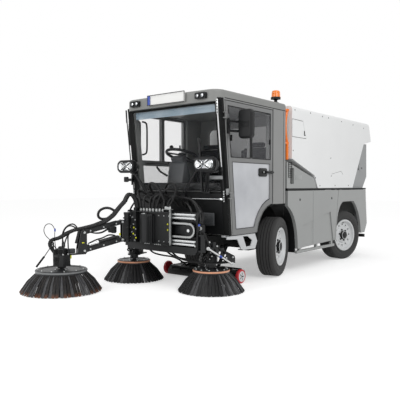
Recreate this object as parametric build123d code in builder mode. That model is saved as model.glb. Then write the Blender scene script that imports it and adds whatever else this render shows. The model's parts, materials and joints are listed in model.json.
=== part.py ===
from build123d import *
import os
from math import atan2, cos, degrees, hypot, radians, sin

# Compact street sweeper with four-wheel steering, a tipping hopper and three
# disc brushes. Millimetres. While modelling, X = 0 is the vehicle's centreline
# (+X is its left side), Y = 0 is the front of the cab roof (the vehicle drives
# towards -Y) and Z = 0 is the ground. TO_ORIGIN then moves every piece so that
# the origin lies at the bottom centre of the whole vehicle.

# ---------------------------------------------------------------- dimensions
# Body
BODY_WIDTH = 1300
HALF = BODY_WIDTH / 2
SKIN = 38  # thickness of a door, a side panel or a fairing
SKIN_IN = HALF - SKIN
PANEL_GAP = 8  # gap between neighbouring outer panels
FIT = 0.3  # seat of one piece on another, and every running clearance

# Wheels
FRONT_AXLE_Y = 1248
WHEELBASE = 1878
REAR_AXLE_Y = FRONT_AXLE_Y + WHEELBASE
TYRE_R = 343
TYRE_WIDTH = 215
WHEEL_X = HALF - TYRE_WIDTH / 2 - 12.5  # centre plane of the tyres
RIM_R = 222
RIM_WIDTH = 194
KINGPIN_X = WHEEL_X - 40
KINGPIN_R = 20
SPINDLE_R = 30
STEER_DEG = 14  # front wheels point 14 deg to the left, rear wheels mirror them

# Chassis
RAIL_X = 195
RAIL_WIDTH = 60
RAIL_BOTTOM = 390
RAIL_TOP = 500
RAIL_FRONT = 236
RAIL_REAR = REAR_AXLE_Y + 614
OUTRIGGER_YS = (1740, REAR_AXLE_Y - 526)
REAR_EDGE = REAR_AXLE_Y + 684
PANEL_HIP = (REAR_EDGE + 44, 475)  # outer face of the rear panel: the lower bend
PANEL_KNEE = (REAR_EDGE - 4, 860)  # and the upper bend
TOW_EYE = (REAR_EDGE + 66, 284)  # centre of the rear towing lugs' holes
TOW_EYE_R = 11
TOW_LUG_THICK = 16

# Cab
CAB_WALL = 35
CAB_FLOOR = 550
CAB_REAR = 1330
CAB_TOP = 1915
PILLAR_KNEE = (174, 975)
PILLAR_FOOT = (214, CAB_FLOOR)
PILLAR_HEAD = (69, CAB_TOP)
PILLAR_WIDTH = 54
ARCH_START = (728, CAB_FLOOR)
ARCH_MIDDLE = (826, 740)
ARCH_END = (1112, 845)
ROOF_FRONT = 0
ROOF_THICK = 85
WORK_LIGHT = (456, 1940)  # distance from the centreline and height, under the visor
WORK_LIGHT_SIZE = (132, 62, 12)
DOOR_REAR = 1042
DOOR_FRAME = 42
MIDRAIL = (1293, 1335)  # bottom and top of the bar across the door
HINGE_OUT = 17  # hinge axis outside the door's face
GLASS = 6

# Hopper
HOPPER_FRONT = 1487
HOPPER_TOP = 2000
HOPPER_FRONT_BOTTOM = 1373
HOPPER_KNEE = (2076, 1183)
HOPPER_HEEL = (2175, 1020)
HOPPER_TAIL = (REAR_AXLE_Y + 172, HOPPER_HEEL[1])
FAIRING_TOP = (REAR_AXLE_Y + 583, 1676)
COWL_TIP = (REAR_AXLE_Y + 870, 1729)
COWL_TOP = REAR_AXLE_Y + 780
HOPPER_WALL = 25
BIN_HALF = SKIN_IN - 67  # half width of the bin between the support plates
POCKET_FRONT = REAR_AXLE_Y + 34
POCKET_TOP = 1822
BIN_REAR_BOTTOM = (REAR_AXLE_Y + 689, 1068)
BIN_REAR_TOP = (REAR_AXLE_Y + 742, 1690)
PIVOT = (REAR_AXLE_Y + 526, 1331)
PIVOT_R = 28
PLATE_IN = BIN_HALF + 8
PLATE_THICK = 46
DECK_TOP = HOPPER_HEEL[1] - FIT
DECK_THICK = 17

# Side panels
PANEL_TOP = 990
PANEL_FRONT = 1393
PANEL_SEAM = REAR_AXLE_Y - 317
PANEL_FOOT = REAR_AXLE_Y - 422

# Front carrier and cross carriage
CARRIER_HALF = 490
BEAM_BOTTOM = 367
BEAM_TOP = 440
ROD_R = 13
ROD_ZS = (463, 498, 727, 762)
ROD_SLACK = 2  # gap between a rod and the plates that pass it
CARRIAGE_LOW = -372
CARRIAGE_HIGH = 150
CHAIN_X = 372  # pulley centre of the drive chain
CHAIN_Z = 607
CHAIN_R = 58

# Third arm: swing post, two parallel links and a head
SWING = (CARRIAGE_LOW - 60, -165)
ARM_AZIMUTH = 19  # degrees from straight ahead, towards the right side
LINK_START = 62
LINK_RUN = 420
LINK_DROP = 92
LINK_LOW_Z = 462
LINK_RISE = 205  # height between the lower and the upper link
LINK_PIN_R = 12
THIRD_REACH = 712

# Brushes: position, radius at the ground and radius of the disc
LEFT_BRUSH = (510, 100)
RIGHT_BRUSH = (-591, 98)
SIDE_BRUSH_R = 341
SIDE_DISC_R = 180
THIRD_BRUSH_R = 409
THIRD_DISC_R = 250
BRISTLE_FOOT = 3
DISC_Z = 205
DISC_THICK = 16
SHAFT_R = 20
ARM_PIVOT_X = CARRIER_HALF + 35
ARM_PIVOT_Y = -58

# Suction nozzle
NOZZLE_Y = (545, 760)
NOZZLE_HALF = 470
NOZZLE_TOP = 112
CASTER = (NOZZLE_HALF + 52, 600)
CASTER_R = 76

# ------------------------------------------------------------ worked-out sizes
WHEEL_Z = TYRE_R
MIRROR_X = HALF + 138
MIRROR_WIDTH = 164
MIRROR_OUT = MIRROR_X + MIRROR_WIDTH / 2
THIRD_BRUSH = (
    SWING[0] - THIRD_REACH * sin(radians(ARM_AZIMUTH)),
    SWING[1] - THIRD_REACH * cos(radians(ARM_AZIMUTH)),
)
ORIGIN_X = (MIRROR_OUT + THIRD_BRUSH[0] - THIRD_BRUSH_R) / 2
ORIGIN_Y = (COWL_TIP[0] + THIRD_BRUSH[1] - THIRD_BRUSH_R) / 2
TO_ORIGIN = Location((-ORIGIN_X, -ORIGIN_Y, 0))

os.makedirs("parts", exist_ok=True)


def save(part, name, turn=None):
    """Turn a finished piece about an axis if asked, move it to the origin and write it."""
    if turn:
        axis, angle = turn
        part = part.rotate(axis, angle)
    placed = part.moved(TO_ORIGIN)
    placed.label = name
    export_step(placed, f"parts/{name}.step")


def line_at(low, high, z):
    """Y of the side-view line through low and high at height z."""
    return low[0] + (high[0] - low[0]) * (z - low[1]) / (high[1] - low[1])


def pillar_y(z):
    """Y of the cab's front edge at height z."""
    if z > PILLAR_KNEE[1]:
        return line_at(PILLAR_KNEE, PILLAR_HEAD, z)
    return line_at(PILLAR_FOOT, PILLAR_KNEE, z)


def side_plane(x):
    """Plane parallel to the vehicle's side at x: its own axes are Y and Z."""
    return Plane(origin=(x, 0, 0), x_dir=(0, 1, 0), z_dir=(1, 0, 0))


def front_plane(y):
    """Plane facing forward at y: its own axes are X and Z."""
    return Plane(origin=(0, y, 0), x_dir=(1, 0, 0), z_dir=(0, -1, 0))


# ------------------------------------------------------------------- chassis
with BuildPart() as chassis_frame:
    with BuildSketch(front_plane(RAIL_FRONT)):
        with Locations((RAIL_X, (RAIL_BOTTOM + RAIL_TOP) / 2), (-RAIL_X, (RAIL_BOTTOM + RAIL_TOP) / 2)):
            Rectangle(RAIL_WIDTH, RAIL_TOP - RAIL_BOTTOM)
            Rectangle(RAIL_WIDTH - 16, RAIL_TOP - RAIL_BOTTOM - 16, mode=Mode.SUBTRACT)
    extrude(amount=-(RAIL_REAR - RAIL_FRONT))
    # Cross tubes between the rails, and outriggers that carry the side panels
    with BuildSketch(Plane.XY.offset(RAIL_BOTTOM + 20)):
        with Locations((0, 300), (0, 900), (0, REAR_AXLE_Y + 294)):
            Rectangle(2 * RAIL_X, 70)
        with Locations(*[(0, y) for y in OUTRIGGER_YS]):
            Rectangle(2 * (SKIN_IN - FIT), 70)
        with Locations((0, RAIL_REAR - 100)):
            Rectangle(2 * (PLATE_IN + PLATE_THICK), 90)
    extrude(amount=RAIL_TOP - RAIL_BOTTOM - 20)
    # Front cab mounts and the posts under the raised rear of the cab floor
    with BuildSketch(Plane.XY.offset(RAIL_TOP)):
        with Locations((RAIL_X, 330), (-RAIL_X, 330)):
            Rectangle(90, 110)
    extrude(amount=CAB_FLOOR - RAIL_TOP)
    with BuildSketch(Plane.XY.offset(RAIL_TOP)):
        with Locations((RAIL_X, 1258), (-RAIL_X, 1258)):
            Rectangle(54, 90)
    extrude(amount=ARCH_END[1] - RAIL_TOP)
    # Rear bumper tube on two drop brackets
    with BuildSketch(Plane.XY.offset(262)):
        with Locations((RAIL_X, RAIL_REAR - 40), (-RAIL_X, RAIL_REAR - 40)):
            Rectangle(40, 80)
    extrude(amount=RAIL_BOTTOM - 262)
    with BuildSketch(Plane.XY.offset(262)):
        with Locations((0, REAR_EDGE + 12)):
            RectangleRounded(BODY_WIDTH - 40, 60, 28)
        with Locations((RAIL_X, REAR_EDGE - 60), (-RAIL_X, REAR_EDGE - 60)):
            Rectangle(40, 120)
    extrude(amount=44)
    # Towing lugs on the rear tube
    for side in (1, -1):
        with BuildSketch(side_plane(side * RAIL_X - TOW_LUG_THICK / 2)):
            with Locations((TOW_EYE[0] - 20, TOW_EYE[1])):
                Rectangle(40, 44)
            with Locations(TOW_EYE):
                Circle(22)
                Circle(TOW_EYE_R, mode=Mode.SUBTRACT)
        extrude(amount=TOW_LUG_THICK)

BATTERY_HALF = SKIN_IN - 52
BATTERY_FEET = (60 - BATTERY_HALF, -RAIL_X, RAIL_X, BATTERY_HALF - 60)

with BuildPart() as battery_pack:
    with BuildSketch(Plane.XY.offset(RAIL_TOP + 12)):
        with Locations((0, (OUTRIGGER_YS[0] + OUTRIGGER_YS[1]) / 2)):
            Rectangle(2 * BATTERY_HALF, OUTRIGGER_YS[1] - OUTRIGGER_YS[0] + 60)
    extrude(amount=400)
    with BuildSketch(Plane.XY.offset(RAIL_TOP)):
        with Locations(*[(x, y) for x in BATTERY_FEET for y in OUTRIGGER_YS]):
            Rectangle(50, 60)
    extrude(amount=12)


def axle_beam(axle_y):
    """Axle beam with a fork at each end that holds the steering knuckle's kingpin."""
    with BuildPart() as axle:
        with BuildSketch(side_plane(0)):
            with Locations((axle_y, WHEEL_Z)):
                RectangleRounded(92, RAIL_BOTTOM + RAIL_BOTTOM - 2 * WHEEL_Z, 12)
        extrude(amount=KINGPIN_X - 66, both=True)
        with BuildSketch(side_plane(KINGPIN_X - 74)):
            with Locations((axle_y, WHEEL_Z)):
                RectangleRounded(66, 226, 20)
        extrude(amount=24)
        with BuildSketch(Plane.XY.offset(WHEEL_Z - 113)) as ear:
            with Locations((KINGPIN_X, axle_y)):
                Circle(34)
            with Locations((KINGPIN_X - 37, axle_y)):
                Rectangle(74, 68)
        extrude(amount=26)
        extrude(ear.sketch.moved(Location((0, 0, 200))), amount=26)
        with BuildSketch(Plane.XY.offset(WHEEL_Z - 113)):
            with Locations((KINGPIN_X, axle_y)):
                Circle(KINGPIN_R)
        extrude(amount=226)
        # Spring seats under the chassis rails
        mirror(about=Plane.YZ)
        with BuildSketch(Plane.XY.offset(WHEEL_Z - 66)):
            with Locations((RAIL_X, axle_y), (-RAIL_X, axle_y)):
                RectangleRounded(100, 150, 14)
        extrude(amount=22)
    return axle.part


def knuckle(axle_y, side):
    """Steering knuckle: kingpin boss, upright, wheel spindle and steering arm."""
    with BuildPart() as upright:
        with BuildSketch(Plane.XY.offset(WHEEL_Z - 86)):
            with Locations((side * KINGPIN_X, axle_y)):
                Circle(36)
        extrude(amount=172)
        with BuildSketch(side_plane(side * (KINGPIN_X + 24))):
            with Locations((axle_y, WHEEL_Z)):
                Circle(78)
        extrude(amount=side * 18)
        with BuildSketch(side_plane(side * KINGPIN_X)):
            with Locations((axle_y, WHEEL_Z)):
                Rectangle(70, 110)
        extrude(amount=side * 36)
        with BuildSketch(side_plane(side * (KINGPIN_X + 40))):
            with Locations((axle_y, WHEEL_Z)):
                Circle(SPINDLE_R)
        extrude(amount=side * 54)
        with BuildSketch(Plane.XY.offset(WHEEL_Z - 80)):
            with Locations((side * (KINGPIN_X - 6), axle_y + 75)):
                SlotOverall(150, 34, rotation=90)
        extrude(amount=22)
        with Locations((side * KINGPIN_X, axle_y, WHEEL_Z)):
            Cylinder(KINGPIN_R + 0.08, 400, mode=Mode.SUBTRACT)
    return upright.part


def tyre(axle_y, side):
    """Tyre as a ring with rounded shoulders and slightly bulging walls."""
    half = TYRE_WIDTH / 2
    bead = RIM_WIDTH / 2 - 9 - FIT
    with BuildPart() as ring:
        with BuildSketch(front_plane(axle_y)):
            with BuildLine():
                crown = Polyline(
                    (side * WHEEL_X + half - 24, TYRE_R + WHEEL_Z),
                    (side * WHEEL_X - half + 24, TYRE_R + WHEEL_Z),
                )
                low = ThreePointArc(
                    crown @ 1,
                    (side * WHEEL_X - half + 6, WHEEL_Z + TYRE_R - 12),
                    (side * WHEEL_X - half, WHEEL_Z + TYRE_R - 50),
                )
                bead_low = ThreePointArc(
                    low @ 1,
                    (side * WHEEL_X - half + 1.5, WHEEL_Z + RIM_R + 30),
                    (side * WHEEL_X - bead, WHEEL_Z + RIM_R + 3),
                )
                base = Polyline(
                    bead_low @ 1,
                    (side * WHEEL_X - bead, WHEEL_Z + RIM_R - 16),
                    (side * WHEEL_X + bead, WHEEL_Z + RIM_R - 16),
                    (side * WHEEL_X + bead, WHEEL_Z + RIM_R + 3),
                )
                bead_high = ThreePointArc(
                    base @ 1,
                    (side * WHEEL_X + half - 1.5, WHEEL_Z + RIM_R + 30),
                    (side * WHEEL_X + half, WHEEL_Z + TYRE_R - 50),
                )
                ThreePointArc(
                    bead_high @ 1,
                    (side * WHEEL_X + half - 6, WHEEL_Z + TYRE_R - 12),
                    crown @ 0,
                )
            make_face()
        revolve(axis=Axis((0, axle_y, WHEEL_Z), (1, 0, 0)))
    return ring.part


def rim(axle_y, side):
    """Steel wheel, its hub drum with the bearing bore, and the hub's nose."""
    barrel = RIM_R - 16 - FIT
    half = RIM_WIDTH / 2
    face = side * WHEEL_X + 68  # the disc's outer face for the left wheel
    centre = side * WHEEL_X
    out = side
    with BuildPart() as wheel:
        with BuildSketch(front_plane(axle_y)):
            with BuildLine():
                Polyline(
                    (centre - out * half, WHEEL_Z + RIM_R),
                    (centre - out * (half - 9), WHEEL_Z + RIM_R),
                    (centre - out * (half - 9), WHEEL_Z + barrel),
                    (centre + out * (half - 9), WHEEL_Z + barrel),
                    (centre + out * (half - 9), WHEEL_Z + RIM_R),
                    (centre + out * half, WHEEL_Z + RIM_R),
                    (centre + out * half, WHEEL_Z + RIM_R - 22),
                    (centre + out * (half - 22), WHEEL_Z + barrel - 14),
                    (centre + out * 58, WHEEL_Z + barrel - 26),
                    (centre + out * 48, WHEEL_Z + 118),
                    (centre + out * 62, WHEEL_Z + 100),
                    (centre + out * 62, WHEEL_Z + 58.5),
                    (centre + out * 50, WHEEL_Z + 58.5),
                    (centre + out * 50, WHEEL_Z + 95),
                    (centre + out * 35, WHEEL_Z + 118),
                    (centre + out * 44, WHEEL_Z + barrel - 12),
                    (centre - out * (half - 16), WHEEL_Z + barrel - 12),
                    (centre - out * half, WHEEL_Z + RIM_R - 14),
                    close=True,
                )
            make_face()
        revolve(axis=Axis((0, axle_y, WHEEL_Z), (1, 0, 0)))
        # Holes in the disc's cone between the bolts and the barrel
        with BuildSketch(side_plane(centre + out * 30)):
            with Locations((axle_y, WHEEL_Z)):
                with PolarLocations(150, 12):
                    Circle(14)
        extrude(amount=out * 45, mode=Mode.SUBTRACT)
        # Hub drum behind the disc, its nose through the disc and its bearing bore
        with BuildSketch(front_plane(axle_y)):
            with BuildLine():
                Polyline(
                    (centre + out * 8, WHEEL_Z + SPINDLE_R + 0.08),
                    (centre + out * 8, WHEEL_Z + 88),
                    (centre + out * 50, WHEEL_Z + 88),
                    (centre + out * 50, WHEEL_Z + 58),
                    (centre + out * 92, WHEEL_Z + 58),
                    (centre + out * 98, WHEEL_Z + 52),
                    (centre + out * 98, WHEEL_Z),
                    (centre + out * 60, WHEEL_Z),
                    (centre + out * 60, WHEEL_Z + SPINDLE_R + 0.08),
                    close=True,
                )
            make_face()
        revolve(axis=Axis((0, axle_y, WHEEL_Z), (1, 0, 0)))
    return wheel.part


save(chassis_frame.part, "chassis_frame")
save(battery_pack.part, "battery_pack")
for end, axle_y, steer in (("front", FRONT_AXLE_Y, STEER_DEG), ("rear", REAR_AXLE_Y, -STEER_DEG)):
    save(axle_beam(axle_y), f"{end}_axle")
    for name, side in (("left", 1), ("right", -1)):
        kingpin = Axis((side * KINGPIN_X, axle_y, 0), (0, 0, 1))
        save(knuckle(axle_y, side), f"knuckle_{end}_{name}", (kingpin, steer))
        save(rim(axle_y, side), f"rim_{end}_{name}", (kingpin, steer))
        save(tyre(axle_y, side), f"tyre_{end}_{name}", (kingpin, steer))

# ----------------------------------------------------------------------- cab


def cab_outline(inset):
    """Side view of the cab, drawn in by inset."""
    with BuildSketch() as outline:
        with BuildLine():
            Polyline(ARCH_START, PILLAR_FOOT, PILLAR_KNEE, PILLAR_HEAD)
            Polyline(PILLAR_HEAD, (CAB_REAR, CAB_TOP), (CAB_REAR, ARCH_END[1]), ARCH_END)
            ThreePointArc(ARCH_END, ARCH_MIDDLE, ARCH_START)
        make_face()
        if inset:
            offset(amount=-inset, kind=Kind.INTERSECTION, mode=Mode.REPLACE)
    return outline.sketch


def door_outline(inset):
    """Side view of a door, drawn in by inset."""
    reach = PILLAR_WIDTH + PANEL_GAP
    top = CAB_TOP - 22
    with BuildSketch() as outline:
        with BuildLine():
            Polyline(
                (ARCH_START[0] - 12, CAB_FLOOR),
                (PILLAR_FOOT[0] + reach, CAB_FLOOR),
                (PILLAR_KNEE[0] + reach, PILLAR_KNEE[1]),
                (pillar_y(top) + reach, top),
                (DOOR_REAR, top),
                (DOOR_REAR, ARCH_END[1] + 6),
            )
            ThreePointArc(
                (DOOR_REAR, ARCH_END[1] + 6),
                (ARCH_MIDDLE[0] - 4, ARCH_MIDDLE[1] + 12),
                (ARCH_START[0] - 12, CAB_FLOOR),
            )
        make_face()
        if inset:
            offset(amount=-inset, kind=Kind.INTERSECTION, mode=Mode.REPLACE)
    return outline.sketch


def raked_slab(front, back, low, high):
    """Side view of a slab along the raked front edge, from front to back behind it."""
    with BuildSketch() as slab:
        with BuildLine():
            Polyline(
                (pillar_y(low) + back, low),
                (pillar_y(low) + front, low),
                (pillar_y(high) + front, high),
                (pillar_y(high) + back, high),
                close=True,
            )
        make_face()
    return slab.sketch


def hinge_axis(side):
    """Door hinge: a line along the front pillar, just outside the door's face."""
    foot = (side * (HALF + HINGE_OUT), line_at(PILLAR_KNEE, PILLAR_HEAD, 900) + 34, 900)
    head = (side * (HALF + HINGE_OUT), line_at(PILLAR_KNEE, PILLAR_HEAD, 1800) + 34, 1800)
    return Vector(*foot), Vector(*head)


HINGE_STATIONS = (0.06, 0.94)  # shares of the axis between its foot and head
HINGE_R = 6
SCREEN_LOW = PILLAR_KNEE[1]
SCREEN_HIGH = CAB_TOP - 30
SCREEN_HALF = HALF - 60
REAR_WINDOW = (900, 470)
REAR_WINDOW_Z = 1520

with BuildPart() as cab_frame:
    # Inner shell as wide as the doors' inner faces
    with BuildSketch(side_plane(0)):
        add(cab_outline(0))
    extrude(amount=SKIN_IN - FIT, both=True)
    with BuildSketch(side_plane(0)):
        add(cab_outline(CAB_WALL))
    extrude(amount=SKIN_IN - CAB_WALL, both=True, mode=Mode.SUBTRACT)
    # Doorway through both side walls
    with BuildSketch(side_plane(0)):
        add(door_outline(24))
    extrude(amount=HALF, both=True, mode=Mode.SUBTRACT)
    # Front pillars, roof rails and the wide rear corner panels reach the outer face
    for side in (1, -1):
        with BuildSketch(side_plane(side * (SKIN_IN - FIT))):
            add(cab_outline(0))
            add(door_outline(-PANEL_GAP), mode=Mode.SUBTRACT)
        extrude(amount=side * (SKIN + FIT))
    # Hinge pins, each between two lugs on the front pillar
    for side in (1, -1):
        foot, head = hinge_axis(side)
        along = (head - foot).normalized()
        for part_way in HINGE_STATIONS:
            centre = foot + (head - foot) * part_way
            with BuildPart(Plane(origin=centre, z_dir=along), mode=Mode.PRIVATE) as hinge_pin:
                Cylinder(HINGE_R, 64)
            add(hinge_pin.part)
            for shift in (-27, 27):
                with BuildSketch(side_plane(side * (HALF - 2))):
                    with Locations((centre.Y - 6, centre.Z + shift)):
                        Rectangle(40, 9)
                extrude(amount=side * (HINGE_OUT + 12))
    # Windscreen and rear window openings with a rebate for the glass
    with BuildSketch(side_plane(0)):
        add(raked_slab(-20, CAB_WALL + 20, SCREEN_LOW + 24, SCREEN_HIGH - 24))
    extrude(amount=SCREEN_HALF - 24, both=True, mode=Mode.SUBTRACT)
    with BuildSketch(side_plane(0)):
        add(raked_slab(-20, GLASS + 4, SCREEN_LOW, SCREEN_HIGH))
    extrude(amount=SCREEN_HALF, both=True, mode=Mode.SUBTRACT)
    with BuildSketch(front_plane(CAB_REAR)):
        with Locations((0, REAR_WINDOW_Z)):
            RectangleRounded(REAR_WINDOW[0], REAR_WINDOW[1], 60)
    extrude(amount=CAB_WALL + 5, both=True, mode=Mode.SUBTRACT)
    with BuildSketch(front_plane(CAB_REAR)):
        with Locations((0, REAR_WINDOW_Z)):
            RectangleRounded(REAR_WINDOW[0] + 40, REAR_WINDOW[1] + 40, 70)
    extrude(amount=GLASS + 2, mode=Mode.SUBTRACT)

with BuildPart() as cab_glass:
    with BuildSketch(side_plane(0)):
        add(raked_slab(4, GLASS + 4, SCREEN_LOW + 2, SCREEN_HIGH - 2))
    extrude(amount=SCREEN_HALF - 2, both=True)
    with BuildSketch(front_plane(CAB_REAR - 2)):
        with Locations((0, REAR_WINDOW_Z)):
            RectangleRounded(REAR_WINDOW[0] + 36, REAR_WINDOW[1] + 36, 68)
    extrude(amount=GLASS)

with BuildPart() as cab_roof:
    with BuildSketch(Plane.XY.offset(CAB_TOP)) as roof_plan:
        with BuildLine():
            Polyline(
                (-HALF, 130),
                (-HALF, CAB_REAR),
                (HALF, CAB_REAR),
                (HALF, 130),
            )
            ThreePointArc((HALF, 130), (HALF - 40, 48), (HALF - 120, ROOF_FRONT + 12))
            ThreePointArc((HALF - 120, ROOF_FRONT + 12), (0, ROOF_FRONT - 4), (120 - HALF, ROOF_FRONT + 12))
            ThreePointArc((120 - HALF, ROOF_FRONT + 12), (40 - HALF, 48), (-HALF, 130))
        make_face()
    extrude(amount=ROOF_THICK)
    fillet(cab_roof.faces().sort_by(Axis.Z)[-1].edges(), radius=26)
    # Drop of the visor in front of the windscreen's head
    with BuildSketch(Plane.XY.offset(CAB_TOP - 36)):
        add(roof_plan.sketch.moved(Location((0, 0, -36))))
        with Locations((0, CAB_REAR / 2 + 52)):
            Rectangle(2 * BODY_WIDTH, CAB_REAR, mode=Mode.SUBTRACT)
    extrude(amount=36)
    # Pockets for the work lights
    with BuildSketch(front_plane(ROOF_FRONT - 60)):
        with Locations(WORK_LIGHT, (-WORK_LIGHT[0], WORK_LIGHT[1])):
            RectangleRounded(*[size + 2 * FIT for size in WORK_LIGHT_SIZE])
    extrude(amount=-98 - FIT, mode=Mode.SUBTRACT)

save(cab_frame.part, "cab_frame")
save(cab_glass.part, "cab_glass")
save(cab_roof.part, "cab_roof")

FOOT_WELL = 585  # top of the cab floor in front of the wheel arches

with BuildPart() as front_bulkhead:
    # Black panel below the windscreen with two pressed ribs
    with BuildSketch(side_plane(0)):
        add(raked_slab(-14, -FIT, CAB_FLOOR + 6, PILLAR_KNEE[1] - 4))
    extrude(amount=SCREEN_HALF, both=True)

WHEEL_PLANE = Plane(origin=(-190, 467, 1396), x_dir=(1, 0, 0), z_dir=(0, 0.35, 1))

with BuildPart() as steering_wheel:
    with BuildSketch(Plane.XZ):
        with Locations((178, 0)):
            Circle(15)
    revolve(axis=Axis.Z)
    with PolarLocations(0, 3, start_angle=90):
        with Locations((89, 0)):
            Box(170, 26, 12)
    Cylinder(42, 34)

with BuildPart() as steering_column:
    # Column with a tilted wheel on the driver's side
    with BuildSketch(side_plane(-190)):
        with BuildLine():
            Polyline((290, FOOT_WELL), (400, FOOT_WELL), (470, 1290), (400, 1315), close=True)
        make_face()
    extrude(amount=45, both=True)
    with BuildSketch(Plane(origin=(-190, 420, 1262), x_dir=(1, 0, 0), z_dir=(0, 0.35, 1))):
        Circle(22)
    extrude(amount=140)
    add(steering_wheel.part.moved(WHEEL_PLANE.location))

with BuildPart() as seats:
    for x in (-330, 330):
        with BuildSketch(Plane.XY.offset(ARCH_END[1] + CAB_WALL)):
            with Locations((x, 1195)):
                RectangleRounded(360, 160, 30)
        extrude(amount=90)
        with BuildSketch(Plane.XY.offset(ARCH_END[1] + CAB_WALL + 90)):
            with Locations((x, 980)):
                RectangleRounded(450, 500, 70)
        extrude(amount=100)
        with BuildSketch(
            Plane(origin=(x, 1160, ARCH_END[1] + CAB_WALL + 130), x_dir=(1, 0, 0), z_dir=(0, 0.12, 1))
        ):
            RectangleRounded(430, 110, 50)
        extrude(amount=540)

DOOR_GLASS_TOP = 1850
DOOR_DIVIDER = 609


def door_windows(inset):
    """The panes of one door in side view: two above the middle bar and one below it."""
    reach = PILLAR_WIDTH + PANEL_GAP + DOOR_FRAME
    low = MIDRAIL[1]
    high = DOOR_GLASS_TOP
    rear = DOOR_REAR - DOOR_FRAME
    with BuildSketch() as panes:
        with BuildLine():
            Polyline(
                (pillar_y(low) + reach, low),
                (pillar_y(high) + reach, high),
                (DOOR_DIVIDER - 14, high),
                (DOOR_DIVIDER - 14, low),
                close=True,
            )
        make_face()
        with BuildLine():
            Polyline(
                (DOOR_DIVIDER + 14, low),
                (DOOR_DIVIDER + 14, high),
                (rear, high),
                (rear, low),
                close=True,
            )
        make_face()
        fillet(panes.vertices(), radius=24)
        # The lower pane follows the wheel arch at its rear corner
        with BuildSketch(mode=Mode.PRIVATE) as lower:
            add(door_outline(DOOR_FRAME + 16))
            with Locations((DOOR_REAR / 2, MIDRAIL[0] + 1000)):
                Rectangle(3000, 2000, mode=Mode.SUBTRACT)
            fillet(lower.vertices(), radius=18)
        add(lower.sketch)
        if inset:
            offset(amount=-inset, mode=Mode.REPLACE)
    return panes.sketch


def door(side):
    """Door frame with its window rebates, hinge leaves and a grab handle."""
    foot, head = hinge_axis(side)
    along = (head - foot).normalized()
    with BuildPart() as frame:
        with BuildSketch(side_plane(side * SKIN_IN)):
            add(door_outline(0))
        extrude(amount=side * SKIN)
        with BuildSketch(side_plane(side * SKIN_IN)):
            add(door_windows(10))
        extrude(amount=side * SKIN, mode=Mode.SUBTRACT)
        with BuildSketch(side_plane(side * (HALF - GLASS - 2))):
            add(door_windows(0))
        extrude(amount=side * SKIN, mode=Mode.SUBTRACT)
        # Two hinge knuckles with a leaf on the door's front stile
        for part_way in HINGE_STATIONS:
            centre = foot + (head - foot) * part_way
            with BuildPart(Plane(origin=centre, z_dir=along), mode=Mode.PRIVATE) as knuckle_part:
                Cylinder(13, 40)
            add(knuckle_part.part)
            leaf_x = side * (HALF + 1)
            with BuildSketch(side_plane(leaf_x)):
                with Locations((centre.Y + 33, centre.Z)):
                    Rectangle(66, 38)
            extrude(amount=side * 11)
            with BuildSketch(side_plane(side * (HALF - 2))):
                with Locations((centre.Y + 50, centre.Z)):
                    Rectangle(32, 38)
            extrude(amount=side * 4)
        with BuildPart(Plane(origin=foot, z_dir=along), mode=Mode.PRIVATE) as bore:
            Cylinder(HINGE_R + 0.08, 3000)
        add(bore.part, mode=Mode.SUBTRACT)
    return frame.part


def door_glass(side):
    """Panes that lie in the door's rebates."""
    with BuildPart() as panes:
        with BuildSketch(side_plane(side * (HALF - GLASS - 2))):
            add(door_windows(2))
        extrude(amount=side * GLASS)
    return panes.part


save(front_bulkhead.part, "front_bulkhead")
save(steering_column.part, "steering_column")
save(seats.part, "seats")
for name, side in (("left", 1), ("right", -1)):
    save(door(side), f"door_{name}")
    save(door_glass(side), f"door_glass_{name}")

# ------------------------------------------------------------ lamps, mirrors
HEADLAMP = (HALF - 101, -10, 1262)
BEACON = (HALF - 90, 1262)

with BuildPart() as lamps:
    # Rounded headlamp housings on arms from the front pillars
    with BuildSketch(front_plane(HEADLAMP[1] - 50)):
        with Locations((HEADLAMP[0], HEADLAMP[2])):
            RectangleRounded(276, 140, 60)
    extrude(amount=-34)
    with BuildSketch(front_plane(HEADLAMP[1] - 16)):
        with Locations((HEADLAMP[0], HEADLAMP[2])):
            RectangleRounded(276, 140, 60)
    with BuildSketch(front_plane(HEADLAMP[1] + 60)):
        with Locations((HEADLAMP[0], HEADLAMP[2])):
            RectangleRounded(190, 84, 38)
    loft()
    with BuildSketch(Plane.XY.offset(HEADLAMP[2] - 30)):
        with BuildLine():
            Polyline(
                (HEADLAMP[0] + 26, HEADLAMP[1] + 50),
                (HEADLAMP[0] + 66, HEADLAMP[1] + 50),
                (HEADLAMP[0] + 66, pillar_y(HEADLAMP[2] - 30)),
                (HEADLAMP[0] + 26, pillar_y(HEADLAMP[2] - 30)),
                close=True,
            )
        make_face()
    extrude(amount=60)
    with BuildSketch(side_plane(0)):
        add(raked_slab(-FIT, 400, 1000, 1500))
    extrude(amount=HALF, both=True, mode=Mode.SUBTRACT)
    # Flat work lights under the front of the roof
    with BuildSketch(front_plane(ROOF_FRONT - 22)):
        with Locations(WORK_LIGHT):
            RectangleRounded(*WORK_LIGHT_SIZE)
    extrude(amount=-60)
    # Tall rear lamp clusters on the rear fenders' edges
    lean = (0, PANEL_KNEE[1] - PANEL_HIP[1], PANEL_HIP[0] - PANEL_KNEE[0])
    seat = Vector(0, sum(p[0] for p in (PANEL_KNEE, PANEL_HIP)) / 2, sum(p[1] for p in (PANEL_KNEE, PANEL_HIP)) / 2)
    with BuildSketch(Plane(origin=seat, x_dir=(-1, 0, 0), z_dir=lean).offset(FIT)):
        with Locations((104 - HALF, 90)):
            RectangleRounded(96, 168, 14)
    extrude(amount=26)
    mirror(about=Plane.YZ)

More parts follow.
